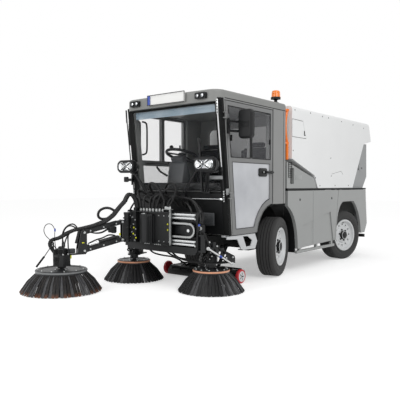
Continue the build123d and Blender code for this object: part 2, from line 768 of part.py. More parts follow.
with BuildPart() as beacon:
    # Amber dome on a short stem at the rear left corner of the roof
    with Locations((BEACON[0], BEACON[1], CAB_TOP + ROOF_THICK)):
        Cylinder(16, 52, align=(Align.CENTER, Align.CENTER, Align.MIN))
    with Locations((BEACON[0], BEACON[1], CAB_TOP + ROOF_THICK)):
        Cylinder(40, 8, align=(Align.CENTER, Align.CENTER, Align.MIN))
    with Locations((BEACON[0], BEACON[1], CAB_TOP + ROOF_THICK + 52)):
        Cylinder(56, 22, align=(Align.CENTER, Align.CENTER, Align.MIN))
    with Locations((BEACON[0], BEACON[1], CAB_TOP + ROOF_THICK + 74)):
        Cone(52, 46, 78, align=(Align.CENTER, Align.CENTER, Align.MIN))
    fillet(beacon.faces().sort_by(Axis.Z)[-1].edges(), radius=20)

with BuildPart() as number_plate:
    with BuildSketch(front_plane(ROOF_FRONT - 18)):
        with Locations((0, 1955)):
            RectangleRounded(520, 110, 8)
    extrude(amount=-4)
    with BuildSketch(front_plane(ROOF_FRONT - 14)):
        with Locations((0, 1950)):
            Rectangle(300, 60)
    extrude(amount=-30)
    add(cab_roof.part, mode=Mode.SUBTRACT)


def door_mirror(side):
    """Rounded mirror housing on a bent arm from the front of the door."""
    with BuildPart() as housing:
        with BuildSketch(front_plane(270)):
            with Locations((side * MIRROR_X, 1668)):
                RectangleRounded(MIRROR_WIDTH, 290, 40)
        extrude(amount=-58)
        fillet(housing.faces().sort_by(Axis.Y)[0].edges(), radius=24)
        for z in (1585, 1680):
            with BuildSketch(Plane.XY.offset(z)):
                with BuildLine():
                    Polyline(
                        (side * (HALF + 4), 168),
                        (side * (HALF + 4), 194),
                        (side * (HALF + 64), 312),
                        (side * (HALF + 64), 284),
                        (side * (HALF + 30), 168),
                        close=True,
                    )
                make_face()
            extrude(amount=22)
        with BuildSketch(side_plane(side * (HALF + FIT))):
            with Locations((181, 1643)):
                RectangleRounded(30, 150, 12)
        extrude(amount=side * 10)
    return housing.part


WIPER_BASE = (60, 950)

with BuildPart() as wiper:
    # Two parallel arms from the sill of the windscreen to an upright blade
    rake = Plane(
        origin=(0, pillar_y(WIPER_BASE[1]) - 26, WIPER_BASE[1]),
        x_dir=(1, 0, 0),
        z_dir=(0, -(PILLAR_HEAD[1] - PILLAR_KNEE[1]), PILLAR_HEAD[0] - PILLAR_KNEE[0]),
    )
    with BuildSketch(rake):
        for shift in (0, 46):
            with BuildLine():
                Polyline(
                    (WIPER_BASE[0] + shift - 5, 0),
                    (WIPER_BASE[0] + shift + 5, 0),
                    (WIPER_BASE[0] + 300, 312 + 0.4 * shift),
                    (WIPER_BASE[0] + 292, 320 + 0.4 * shift),
                    close=True,
                )
            make_face()
    extrude(amount=8)
    with BuildSketch(rake.offset(-12)):
        with Locations((WIPER_BASE[0] + 300, 312)):
            Rectangle(16, 560)
    extrude(amount=24)
    with BuildSketch(rake.offset(-11)):
        with Locations((WIPER_BASE[0] + 22, 0)):
            RectangleRounded(92, 40, 16)
    extrude(amount=23)

save(lamps.part, "lamps")
save(number_plate.part, "number_plate")
save(beacon.part, "beacon")
save(wiper.part, "wiper")
for name, side in (("left", 1), ("right", -1)):
    save(door_mirror(side), f"mirror_{name}")

# ------------------------------------------------------------- body panels


with BuildSketch() as lower_panel:
    # Lower side panel: its front follows the wheel arch, its rear is the seam
    with BuildLine():
        Polyline(
            (1646, 283), (PANEL_FOOT, 306), (PANEL_SEAM, PANEL_TOP), (PANEL_FRONT, PANEL_TOP), (PANEL_FRONT, 812)
        )
        Bezier((PANEL_FRONT, 812), (1515, 745), (1636, 620), (1646, 283))
    make_face()

STEP_MIDDLE = (1633 + PANEL_FOOT) / 2 + 1.5

with BuildPart() as side_panels:
    with BuildSketch(side_plane(SKIN_IN)):
        add(lower_panel.sketch)
    extrude(amount=SKIN)
    # Long pressed crease that thins the panel below its waist
    with BuildSketch(side_plane(HALF - 12)):
        with BuildLine():
            Polyline(
                (1760, 250),
                (1760, 560),
                (PANEL_FOOT - 144, 700),
                (PANEL_FOOT - 44, 300),
                (PANEL_FOOT - 304, 250),
                close=True,
            )
        make_face()
    extrude(amount=12, mode=Mode.SUBTRACT)
    # Step bar below the panel on three tabs
    with BuildSketch(side_plane(SKIN_IN)):
        with Locations((STEP_MIDDLE, 241)):
            RectangleRounded(PANEL_FOOT - 1630, 34, 12)
        with Locations((1720, 270), (STEP_MIDDLE, 270), (PANEL_FOOT - 84, 275)):
            Rectangle(44, 60)
    extrude(amount=SKIN - 8)
    mirror(about=Plane.YZ)

with BuildSketch() as quarter_outline:
    with BuildLine():
        Polyline((1368, 1333), (2060, 1148), (2129, 1027), (2129, DECK_TOP), (1368, DECK_TOP), close=True)
    make_face()

with BuildPart() as quarter_panels:
    with BuildSketch(side_plane(SKIN_IN)):
        add(quarter_outline.sketch)
        with Locations((1492, 1166)):
            RectangleRounded(96, 190, 14, mode=Mode.SUBTRACT)
    extrude(amount=SKIN)
    # Louvre blades across the slot
    with BuildSketch(side_plane(SKIN_IN)):
        with Locations((1492, 1166)):
            with GridLocations(0, 24, 1, 8):
                Rectangle(100, 5)
    extrude(amount=SKIN - 14)
    mirror(about=Plane.YZ)

with BuildPart() as rear_fenders:
    with BuildSketch(side_plane(SKIN_IN)):
        with BuildLine():
            Polyline(
                (PANEL_FOOT + PANEL_GAP, 306),
                (PANEL_SEAM + PANEL_GAP, PANEL_TOP),
                (REAR_EDGE - 10, PANEL_TOP),
                (REAR_EDGE, 860),
                (REAR_EDGE + 50, 475),
                (REAR_EDGE - 40, 339),
                (REAR_AXLE_Y + 496, 339),
            )
            tail = Bezier(
                (REAR_AXLE_Y + 496, 339),
                (REAR_AXLE_Y + 474, 560),
                (REAR_AXLE_Y + 394, 700),
                (REAR_AXLE_Y + 213, 825),
            )
            crest = Line(tail @ 1, (REAR_AXLE_Y - 153, 825))
            front = Bezier(
                crest @ 1,
                (REAR_AXLE_Y - 326, 780),
                (REAR_AXLE_Y - 376, 560),
                (REAR_AXLE_Y - 384, 306),
            )
            Line(front @ 1, (PANEL_FOOT + PANEL_GAP, 306))
        make_face()
    extrude(amount=SKIN)
    mirror(about=Plane.YZ)

STEP_TOP = CAB_FLOOR - 10  # clear of the swinging door's foot

with BuildPart() as cab_steps:
    # Folded bracket under each door with a six-sided opening and a tread
    with BuildSketch(side_plane(HALF - 22)):
        with BuildLine():
            Polyline(
                (190, STEP_TOP),
                (190, 512),
                (372, 500),
                (440, 396),
                (475, 384),
                (709, 376),
                (748, 455),
                (702, STEP_TOP),
                close=True,
            )
        make_face()
        with BuildLine():
            Polyline(
                (474, 524), (566, 520), (650, 470), (622, 412), (534, 410), close=True
            )
        make_face(mode=Mode.SUBTRACT)
    extrude(amount=10)
    with BuildSketch(Plane.XY.offset(376)):
        with Locations((HALF - 52, 592)):
            Rectangle(60, 226)
    extrude(amount=10)
    with BuildSketch(Plane.XY.offset(STEP_TOP - 8)):
        with Locations((HALF - 52, 446)):
            Rectangle(60, 512)
    extrude(amount=8)
    with BuildSketch(Plane.XY.offset(STEP_TOP)):
        with Locations((HALF - 64, 446)):
            Rectangle(36, 512)
    extrude(amount=CAB_FLOOR - FIT - STEP_TOP)
    mirror(about=Plane.YZ)

BOW_R = 18
BOW_X = HALF - 48
BOW_ENDS = (1556, 1944)  # heights where the guard bow meets its brackets

with BuildPart() as guard_bow:
    # Bowed tube behind the cab on two brackets, with a flexible foot below it
    with BuildLine(side_plane(BOW_X)):
        ThreePointArc((1452, BOW_ENDS[0]), (1408, sum(BOW_ENDS) / 2), (1452, BOW_ENDS[1]))
    with BuildSketch(Plane(origin=(BOW_X, 1452, BOW_ENDS[0]), z_dir=(0, -44, 194))):
        Circle(BOW_R)
    sweep()
    for z in BOW_ENDS:
        with BuildSketch(Plane.XY.offset(z - 12)):
            with Locations((BOW_X, 1448)):
                Circle(BOW_R + 5)
            with Locations((BOW_X, (CAB_REAR + 1448) / 2)):
                Rectangle(30, 1448 - CAB_REAR - FIT)
        extrude(amount=24)
        with BuildSketch(front_plane(CAB_REAR + FIT + 10)):
            with Locations((BOW_X, z)):
                RectangleRounded(50, 70, 10)
        extrude(amount=10)
    with BuildSketch(Plane.XY.offset(BOW_ENDS[0] - 196)):
        with Locations((BOW_X, 1448)):
            Circle(BOW_R + 2)
    extrude(amount=190)

LINER = 10

with BuildPart() as front_arches:
    # Black liner over each front wheel, just below the cab's arch and down behind it
    with BuildSketch(side_plane(400)):
        with BuildLine():
            crest = ThreePointArc(
                (ARCH_START[0] + 1, ARCH_START[1] - 2),
                (ARCH_MIDDLE[0] + 1, ARCH_MIDDLE[1] - 1),
                (ARCH_END[0], ARCH_END[1] - 1),
            )
            flat = Line(crest @ 1, (1340, ARCH_END[1] - 1))
            fall = Bezier(flat @ 1, (1510, 770), (1640, 630), (1650, 234))
            foot = Line(fall @ 1, (1650 - LINER, 234))
            rise = Bezier(foot @ 1, (1630, 625), (1503, 762), (1338, ARCH_END[1] - 1 - LINER))
            under = Line(rise @ 1, (ARCH_END[0], ARCH_END[1] - 1 - LINER))
            inner = ThreePointArc(
                under @ 1,
                (ARCH_MIDDLE[0] + 8, ARCH_MIDDLE[1] - 8),
                (ARCH_START[0] + 11, ARCH_START[1] - 2),
            )
            Line(inner @ 1, crest @ 0)
        make_face()
    extrude(amount=SKIN_IN - FIT - 400)
    mirror(about=Plane.YZ)

DECK_REAR = REAR_AXLE_Y + 164

with BuildPart() as deck_frame:
    # Open deck under the hopper: side strips, cross strips and posts on the chassis
    with BuildSketch(Plane.XY.offset(DECK_TOP - DECK_THICK)):
        with Locations((0, (PANEL_FRONT + DECK_REAR) / 2)):
            Rectangle(BODY_WIDTH - 6, DECK_REAR - PANEL_FRONT)
        with Locations((0, 1700), (0, (PANEL_FRONT + DECK_REAR) / 2), (0, DECK_REAR - 300)):
            Rectangle(2 * SKIN_IN - 94, 460, mode=Mode.SUBTRACT)
    extrude(amount=DECK_THICK)
    with BuildSketch(Plane.XY.offset(RAIL_TOP)):
        for y in (1430, DECK_REAR - 590, DECK_REAR - 28):
            with Locations((RAIL_X, y), (-RAIL_X, y)):
                Rectangle(50, 44)
    extrude(amount=DECK_TOP - DECK_THICK - RAIL_TOP)
    # Tongues down to the panels
    with BuildSketch(Plane.XY.offset(PANEL_TOP - 60)):
        for y in (1440, 2100, PANEL_SEAM - 69, PANEL_SEAM + 91, DECK_REAR - 40):
            with Locations((SKIN_IN - 8, y), (8 - SKIN_IN, y)):
                Rectangle(16 - 2 * FIT, 60)
    extrude(amount=DECK_TOP - DECK_THICK - PANEL_TOP + 60)

with BuildPart() as hopper_supports:
    # Plate beside the rear of the hopper, on a post from the rear cross tube
    with BuildSketch(side_plane(PLATE_IN)):
        with BuildLine():
            Polyline(
                HOPPER_TAIL,
                FAIRING_TOP,
                (REAR_AXLE_Y + 817, 1690),
                (REAR_AXLE_Y + 830, 1190),
                (REAR_EDGE - 13, 1012),
                (REAR_EDGE - 50, 960),
                (RAIL_REAR - 20, 700),
                (RAIL_REAR - 20, RAIL_TOP),
                (RAIL_REAR - 140, RAIL_TOP),
                (RAIL_REAR - 140, 700),
                (RAIL_REAR - 220, 900),
                (HOPPER_TAIL[0] + 22, DECK_TOP - 10),
                close=True,
            )
        make_face()
    extrude(amount=PLATE_THICK)
    with BuildSketch(side_plane(PLATE_IN)):
        with Locations(PIVOT):
            Circle(PIVOT_R)
    extrude(amount=-(PLATE_IN - BIN_HALF + HOPPER_WALL + 10))
    with BuildSketch(side_plane(PLATE_IN + PLATE_THICK)):
        with Locations(PIVOT):
            Circle(PIVOT_R + 16)
    extrude(amount=14)
    mirror(about=Plane.YZ)

with BuildPart() as rear_panel:
    # Black panel between the rear fenders with lamp housings in its corners
    with BuildSketch(side_plane(0)):
        with BuildLine():
            Polyline(
                (REAR_EDGE - 34, 940),
                (REAR_EDGE - 14, 940),
                PANEL_KNEE,
                PANEL_HIP,
                (REAR_EDGE - 30, 352),
                (REAR_EDGE - 50, 352),
                (REAR_EDGE + 22, 475),
                (REAR_EDGE - 26, 860),
                close=True,
            )
        make_face()
    extrude(amount=SKIN_IN - FIT, both=True)

save(side_panels.part, "side_panels")
save(quarter_panels.part, "quarter_panels")
save(rear_fenders.part, "rear_fenders")
save(front_arches.part, "front_arches")
save(cab_steps.part, "cab_steps")
save(guard_bow.part, "guard_bow")
save(deck_frame.part, "deck_frame")
save(hopper_supports.part, "hopper_supports")
save(rear_panel.part, "rear_panel")

# ------------------------------------------------------------------- hopper

with BuildSketch() as hopper_side:
    with BuildLine():
        Polyline(
            (HOPPER_FRONT, HOPPER_TOP),
            (HOPPER_FRONT, HOPPER_FRONT_BOTTOM),
            HOPPER_KNEE,
            HOPPER_HEEL,
            HOPPER_TAIL,
            FAIRING_TOP,
            COWL_TIP,
            (COWL_TOP, HOPPER_TOP),
            close=True,
        )
    make_face()

with BuildSketch() as bin_side:
    # The bin between the support plates runs further back than the fairings
    with BuildLine():
        Polyline(
            (HOPPER_FRONT, HOPPER_TOP),
            (HOPPER_FRONT, HOPPER_FRONT_BOTTOM),
            HOPPER_KNEE,
            HOPPER_HEEL,
            HOPPER_TAIL,
            BIN_REAR_BOTTOM,
            BIN_REAR_TOP,
            (COWL_TIP[0] - 4, COWL_TIP[1]),
            (COWL_TOP, HOPPER_TOP),
            close=True,
        )
    make_face()

HATCH = ((1489, 1848), (1763, 1842), (1847, 1628), (1489, 1631))
TAILGATE_HINGE = (BIN_REAR_TOP[0] + 24, 1672)
TAILGATE_BARRELS = (340, 80)  # distance from the centreline and length
HINGE_PIN_R = 8

with BuildPart() as hopper:
    with BuildSketch(side_plane(0)):
        add(bin_side.sketch)
    extrude(amount=BIN_HALF, both=True)
    with BuildSketch(side_plane(0)):
        add(hopper_side.sketch)
    extrude(amount=HALF, both=True)
    fillet(hopper.faces().sort_by(Axis.Z)[-1].edges().filter_by(Axis.Y), radius=45)
    # Pockets beside the bin, in which the support plates stand
    for side in (1, -1):
        with BuildSketch(side_plane(side * BIN_HALF)):
            with Locations(((POCKET_FRONT + COWL_TIP[0] + 104) / 2, (POCKET_TOP + 1000) / 2)):
                Rectangle(COWL_TIP[0] + 104 - POCKET_FRONT, POCKET_TOP - 1000)
        extrude(amount=side * (SKIN_IN - BIN_HALF), mode=Mode.SUBTRACT)
    # Hollow of the bin, open at the rear below the cowl
    with BuildSketch(side_plane(0)) as hollow:
        add(offset(bin_side.sketch, amount=-HOPPER_WALL, kind=Kind.INTERSECTION, mode=Mode.PRIVATE))
        with BuildLine():
            Polyline(
                (BIN_REAR_BOTTOM[0] - 80, BIN_REAR_BOTTOM[1] + HOPPER_WALL - 8),
                (BIN_REAR_BOTTOM[0] + 200, BIN_REAR_BOTTOM[1] + HOPPER_WALL),
                (BIN_REAR_TOP[0] + 40, BIN_REAR_TOP[1] - 40),
                (BIN_REAR_TOP[0] - 80, BIN_REAR_TOP[1] - 40),
                close=True,
            )
        make_face()
    extrude(amount=BIN_HALF - HOPPER_WALL, both=True, mode=Mode.SUBTRACT)
    with BuildSketch(side_plane(0)):
        add(offset(bin_side.sketch, amount=-HOPPER_WALL, kind=Kind.INTERSECTION, mode=Mode.PRIVATE))
        with Locations((POCKET_FRONT - HOPPER_WALL + 1000, 1500)):
            Rectangle(2000, 2000, mode=Mode.SUBTRACT)
    extrude(amount=HALF - HOPPER_WALL, both=True, mode=Mode.SUBTRACT)
    # Bearings for the pivot pins of the support plates
    with BuildSketch(side_plane(0)):
        with Locations(PIVOT):
            Circle(PIVOT_R + FIT)
    extrude(amount=BIN_HALF + 20, both=True, mode=Mode.SUBTRACT)
    # Lugs and pins of the tailgate's hinge
    for side in (1, -1):
        middle = side * TAILGATE_BARRELS[0]
        for shift in (-TAILGATE_BARRELS[1] / 2 - 12, TAILGATE_BARRELS[1] / 2 + 2):
            with BuildSketch(side_plane(middle + shift)):
                with BuildLine():
                    Polyline(
                        (BIN_REAR_TOP[0] - 6, TAILGATE_HINGE[1] + 12),
                        (BIN_REAR_TOP[0] - 6, BIN_REAR_TOP[1] + 4),
                        (TAILGATE_HINGE[0] + 8, BIN_REAR_TOP[1] + 4),
                        (TAILGATE_HINGE[0] + 8, TAILGATE_HINGE[1] - 8),
                        (TAILGATE_HINGE[0] - 10, TAILGATE_HINGE[1] - 8),
                        close=True,
                    )
                make_face()
            extrude(amount=10)
        with BuildSketch(side_plane(middle - TAILGATE_BARRELS[1] / 2 - 12)):
            with Locations(TAILGATE_HINGE):
                Circle(HINGE_PIN_R)
        extrude(amount=TAILGATE_BARRELS[1] + 24)
    # Shallow groove that outlines the inspection hatch on each side
    for side in (1, -1):
        with BuildSketch(side_plane(side * (HALF - 3))):
            with BuildLine():
                Polyline(*HATCH, close=True)
            make_face()
            with BuildSketch(mode=Mode.PRIVATE) as hatch:
                with BuildLine():
                    Polyline(*HATCH, close=True)
                make_face()
                offset(amount=-7, mode=Mode.REPLACE)
            add(hatch.sketch, mode=Mode.SUBTRACT)
        extrude(amount=side * 5, mode=Mode.SUBTRACT)

with BuildPart() as tailgate:
    # Rear door of the bin, hung from two barrels at its top edge
    rear = (BIN_REAR_TOP[0] - BIN_REAR_BOTTOM[0]) / (BIN_REAR_TOP[1] - BIN_REAR_BOTTOM[1])
    top_z = TAILGATE_HINGE[1] - 14
    with BuildSketch(side_plane(0)):
        with BuildLine():
            Polyline(
                (BIN_REAR_BOTTOM[0] + 2, BIN_REAR_BOTTOM[1]),
                (BIN_REAR_BOTTOM[0] + 2 + rear * (top_z - BIN_REAR_BOTTOM[1]), top_z),
                (BIN_REAR_BOTTOM[0] + 36 + rear * (top_z - BIN_REAR_BOTTOM[1]), top_z),
                (BIN_REAR_BOTTOM[0] + 36, BIN_REAR_BOTTOM[1]),
                close=True,
            )
        make_face()
    extrude(amount=BIN_HALF - 4, both=True)
    for side in (1, -1):
        with BuildSketch(side_plane(side * TAILGATE_BARRELS[0])):
            with Locations(TAILGATE_HINGE):
                Circle(15)
            with Locations((TAILGATE_HINGE[0] + 2, TAILGATE_HINGE[1] - 14)):
                Rectangle(24, 26)
        extrude(amount=TAILGATE_BARRELS[1] / 2, both=True)
        with BuildSketch(side_plane(side * TAILGATE_BARRELS[0])):
            with Locations(TAILGATE_HINGE):
                Circle(HINGE_PIN_R + 0.08)
        extrude(amount=TAILGATE_BARRELS[1] / 2, both=True, mode=Mode.SUBTRACT)

save(hopper.part, "hopper")
save(tailgate.part, "tailgate")

# ------------------------------------------------------------- front carrier
BACK_PLATE_Y = -32
ROD_Y = -78
CARRIER_END = 12
ARM_LUGS = (418, 556)  # inner faces of the two lugs that hold a side brush arm

with BuildPart() as front_carrier:
    # Arms under the cab, a rounded lower beam, a back plate and two end plates
    with BuildSketch(front_plane(RAIL_FRONT)):
        with Locations((RAIL_X, 445), (-RAIL_X, 445)):
            Rectangle(RAIL_WIDTH, 90)
    extrude(amount=RAIL_FRONT - BACK_PLATE_Y)
    with BuildSketch(front_plane(BACK_PLATE_Y + 12)):
        with BuildLine():
            beam = Polyline(
                (-CARRIER_HALF, BEAM_TOP),
                (-CARRIER_HALF, BEAM_BOTTOM + 10),
                (CARRIER_HALF - 70, BEAM_BOTTOM),
            )
            corner = TangentArc(beam @ 1, (CARRIER_HALF, BEAM_BOTTOM + 70), tangent=(1, 0))
            Polyline(corner @ 1, (CARRIER_HALF, BEAM_TOP), beam @ 0)
        make_face()
    extrude(amount=80)
    with BuildSketch(front_plane(BACK_PLATE_Y + 12)):
        with Locations((0, (BEAM_TOP + 785) / 2)):
            Rectangle(2 * CARRIER_HALF, 785 - BEAM_TOP)
    extrude(amount=12)
    for x in (-CARRIER_HALF, CARRIER_HALF - CARRIER_END):
        with BuildSketch(side_plane(x)):
            with Locations(((BACK_PLATE_Y - 98) / 2, (BEAM_TOP + 790) / 2)):
                RectangleRounded(98 + BACK_PLATE_Y, 790 - BEAM_TOP, 10)
            with Locations(((BACK_PLATE_Y - 98) / 2, BEAM_TOP + 15)):
                Rectangle(98 + BACK_PLATE_Y, 30)
        extrude(amount=CARRIER_END)
    # Guide rods of the cross carriage
    with BuildSketch(side_plane(CARRIER_END / 2 - CARRIER_HALF)):
        with Locations(*[(ROD_Y, z) for z in ROD_ZS]):
            Circle(ROD_R)
    extrude(amount=2 * CARRIER_HALF - CARRIER_END)
    # Lugs and pins on which the side brush arms swing
    for side in (1, -1):
        for z in (ARM_LUGS[0] - 18, ARM_LUGS[1]):
            with BuildSketch(Plane.XY.offset(z)):
                with Locations((side * ARM_PIVOT_X, ARM_PIVOT_Y)):
                    Circle(30)
                with Locations((side * (ARM_PIVOT_X - 20), ARM_PIVOT_Y)):
                    Rectangle(40, 60)
            extrude(amount=18)
        with BuildSketch(Plane.XY.offset(ARM_LUGS[0] - 18)):
            with Locations((side * ARM_PIVOT_X, ARM_PIVOT_Y)):
                Circle(14)
        extrude(amount=ARM_LUGS[1] - ARM_LUGS[0] + 36)

CHAIN_THICK = 15
CHAIN_Y = (-94, -64)
CHAIN_OUT = CHAIN_R + CHAIN_THICK
CHAIN_PITCH = 16
TOOTH = (9, 5)  # width and height of a tooth on the outside of the chain

with BuildPart() as drive_chain:
    # Flat-sided loop of links around two pulleys that turn the cross carriage's drive
    with BuildSketch(front_plane(CHAIN_Y[1])):
        with Locations((0, CHAIN_Z)):
            SlotCenterToCenter(2 * CHAIN_X, 2 * CHAIN_OUT)
            with GridLocations(CHAIN_PITCH, 2 * CHAIN_OUT, round(2 * CHAIN_X / CHAIN_PITCH) - 1, 2):
                Rectangle(TOOTH[0], 2 * TOOTH[1])
        for x, start in ((CHAIN_X, -90), (-CHAIN_X, 90)):
            with Locations((x, CHAIN_Z)):
                with PolarLocations(CHAIN_OUT, 15, start, 180):
                    Rectangle(2 * TOOTH[1], TOOTH[0])
        with Locations((0, CHAIN_Z)):
            SlotCenterToCenter(2 * CHAIN_X, 2 * CHAIN_R, mode=Mode.SUBTRACT)
    extrude(amount=CHAIN_Y[1] - CHAIN_Y[0])
    for x in (-CHAIN_X, CHAIN_X):
        with BuildSketch(front_plane(CHAIN_Y[1])):
            with Locations((x, CHAIN_Z)):
                Circle(CHAIN_R)
                Circle(CHAIN_R - 22, mode=Mode.SUBTRACT)
        extrude(amount=CHAIN_Y[1] - CHAIN_Y[0])
        with BuildSketch(front_plane(BACK_PLATE_Y)):
            with Locations((x, CHAIN_Z)):
                Circle(26)
        extrude(amount=BACK_PLATE_Y - CHAIN_Y[0] + 1)
        with BuildSketch(front_plane(CHAIN_Y[1] - 8)):
            with Locations((x, CHAIN_Z)):
                Circle(CHAIN_R - 10)
        extrude(amount=8)

CARRIAGE_FOOT = BEAM_TOP + 6
CARRIAGE_TOP = ROD_ZS[-1] + ROD_R + ROD_SLACK
CARRIAGE_PLATE = 12
RECESS_Y = (CHAIN_Y[0] - 14, CHAIN_Y[0] - 6)  # front and rear of the housing's recessed wall
UPRIGHT_WIDTH = 64
DRUM_R = 58
GUARD_PLATE_TOP = 812

with BuildPart() as cross_carriage:
    # Two end plates that slide on the guide rods, open behind for the chain and its hubs
    for x in (CARRIAGE_LOW, CARRIAGE_HIGH - CARRIAGE_PLATE):
        with BuildSketch(side_plane(x)):
            with Locations(((RECESS_Y[0] - 44) / 2, (CARRIAGE_FOOT + CARRIAGE_TOP) / 2)):
                Rectangle(-44 - RECESS_Y[0], CARRIAGE_TOP - CARRIAGE_FOOT)
            with Locations((-40, CHAIN_Z)):
                Rectangle(
                    2 * (-40 - RECESS_Y[1]), 2 * (CHAIN_OUT + TOOTH[1] + 8), mode=Mode.SUBTRACT
                )
            with Locations(*[(ROD_Y, z) for z in ROD_ZS]):
                Circle(ROD_R + FIT, mode=Mode.SUBTRACT)
        extrude(amount=CARRIAGE_PLATE)
    # Recessed front wall, top plate and a lip along the foot
    with BuildSketch(front_plane(RECESS_Y[1])):
        with Locations(((CARRIAGE_LOW + CARRIAGE_HIGH) / 2, (CARRIAGE_FOOT + CARRIAGE_TOP) / 2)):
            Rectangle(CARRIAGE_HIGH - CARRIAGE_LOW, CARRIAGE_TOP - CARRIAGE_FOOT)
    extrude(amount=RECESS_Y[1] - RECESS_Y[0])
    with BuildSketch(Plane.XY.offset(CARRIAGE_TOP)):
        with Locations(((CARRIAGE_LOW + CARRIAGE_HIGH) / 2, -97)):
            Rectangle(CARRIAGE_HIGH - CARRIAGE_LOW, 106)
    extrude(amount=8)
    with BuildSketch(Plane.XY.offset(CARRIAGE_FOOT)):
        with Locations(((CARRIAGE_LOW + CARRIAGE_HIGH) / 2, RECESS_Y[0] - 18)):
            Rectangle(CARRIAGE_HIGH - CARRIAGE_LOW, 44)
    extrude(amount=10)
    # Drum housing of the hose reel, half sunk in the wall
    with BuildSketch(Plane.XY.offset(CARRIAGE_FOOT + 10)):
        with Locations((CARRIAGE_LOW + UPRIGHT_WIDTH + 40 + DRUM_R, RECESS_Y[0])):
            Circle(DRUM_R)
            Rectangle(3 * DRUM_R, 2 * DRUM_R, align=(Align.CENTER, Align.MIN), mode=Mode.SUBTRACT)
        with Locations((CARRIAGE_LOW + UPRIGHT_WIDTH + 40 + 2.4 * DRUM_R, RECESS_Y[0] - 16)):
            Rectangle(1.6 * DRUM_R, 32)
    extrude(amount=CARRIAGE_TOP - CARRIAGE_FOOT - 30)
    # Guard plate at the chain's side with a flange along its top
    with BuildSketch(side_plane(CARRIAGE_HIGH - 4)):
        with Locations(((RECESS_Y[0] - 16 + RECESS_Y[1]) / 2, (CARRIAGE_FOOT + GUARD_PLATE_TOP) / 2)):
            Rectangle(RECESS_Y[1] + 16 - RECESS_Y[0], GUARD_PLATE_TOP - CARRIAGE_FOOT)
    extrude(amount=4)
    with BuildSketch(Plane.XY.offset(GUARD_PLATE_TOP - 4)):
        with Locations((CARRIAGE_HIGH - 45, RECESS_Y[0] + 13)):
            Rectangle(90, 58)
    extrude(amount=4)
    # Upright with two ears for the swing post
    with BuildSketch(front_plane(RECESS_Y[1])):
        with Locations((CARRIAGE_LOW + UPRIGHT_WIDTH / 2 - 8, (CARRIAGE_FOOT + CARRIAGE_TOP + 8) / 2)):
            RectangleRounded(UPRIGHT_WIDTH + 16, CARRIAGE_TOP + 8 - CARRIAGE_FOOT, 12)
    extrude(amount=RECESS_Y[1] + 152)
    for z in (CARRIAGE_FOOT + 2, CARRIAGE_TOP - 35):
        with BuildSketch(Plane.XY.offset(z)):
            with Locations(SWING):
                Circle(34)
            with Locations(((SWING[0] + CARRIAGE_LOW) / 2, SWING[1] + 24)):
                Rectangle(CARRIAGE_LOW - SWING[0] + 20, 44)
        extrude(amount=26)
    with BuildSketch(Plane.XY.offset(CARRIAGE_FOOT + 2)):
        with Locations(SWING):
            Circle(16)
    extrude(amount=CARRIAGE_TOP - CARRIAGE_FOOT - 11)

ARM = radians(ARM_AZIMUTH)


def arm_plane(across=0):
    """Plane through the swing post: its axes run out along the third arm and up."""
    outward = Vector(-sin(ARM), -cos(ARM), 0)
    sideways = Vector(-cos(ARM), sin(ARM), 0)
    origin = Vector(SWING[0], SWING[1], 0) + sideways * across
    return Plane(origin=origin, x_dir=outward, z_dir=sideways)


LINK_HIGH_Z = LINK_LOW_Z + LINK_RISE
LINK_END = LINK_START + LINK_RUN
LINK_WIDTH = 44

with BuildPart() as swing_post:
    # Tube on the carriage's pin, with ears that hold the inner ends of both links
    with BuildSketch(Plane.XY.offset(CARRIAGE_FOOT + 28 + FIT)):
        with Locations(SWING):
            Circle(30)
    extrude(amount=CARRIAGE_TOP - CARRIAGE_FOOT - 63 - 2 * FIT)
    for across in (-LINK_WIDTH / 2 - 12, LINK_WIDTH / 2 + 2):
        with BuildSketch(arm_plane(across)):
            with Locations((LINK_START / 2, (LINK_LOW_Z + LINK_HIGH_Z) / 2 + 14)):
                Rectangle(LINK_START, LINK_RISE - 6)
            for z in (LINK_LOW_Z + 18, LINK_HIGH_Z):
                with Locations((LINK_START, z)):
                    Circle(24)
        extrude(amount=10)
    for z in (LINK_LOW_Z + 18, LINK_HIGH_Z):
        with BuildSketch(arm_plane(-LINK_WIDTH / 2 - 12)):
            with Locations((LINK_START, z)):
                Circle(LINK_PIN_R)
        extrude(amount=LINK_WIDTH + 24)
    with BuildSketch(Plane.XY.offset(BEAM_TOP)):
        with Locations(SWING):
            Circle(16 + 0.08)
    extrude(amount=400, mode=Mode.SUBTRACT)


def link(z):
    """One link of the third arm between its two pin bores."""
    start = (LINK_START, z)
    end = (LINK_END, z - LINK_DROP)
    slope = degrees(atan2(-LINK_DROP, LINK_RUN))
    with BuildPart() as bar:
        with BuildSketch(arm_plane(-LINK_WIDTH / 2)):
            with Locations(((start[0] + end[0]) / 2, (start[1] + end[1]) / 2)):
                SlotCenterToCenter(hypot(LINK_RUN, LINK_DROP), 46, rotation=slope)
        extrude(amount=LINK_WIDTH)
        with BuildSketch(arm_plane(-LINK_WIDTH)):
            with Locations(start, end):
                Circle(LINK_PIN_R + 0.08)
        extrude(amount=2 * LINK_WIDTH, mode=Mode.SUBTRACT)
    return bar.part


MOTOR_TOP = 352

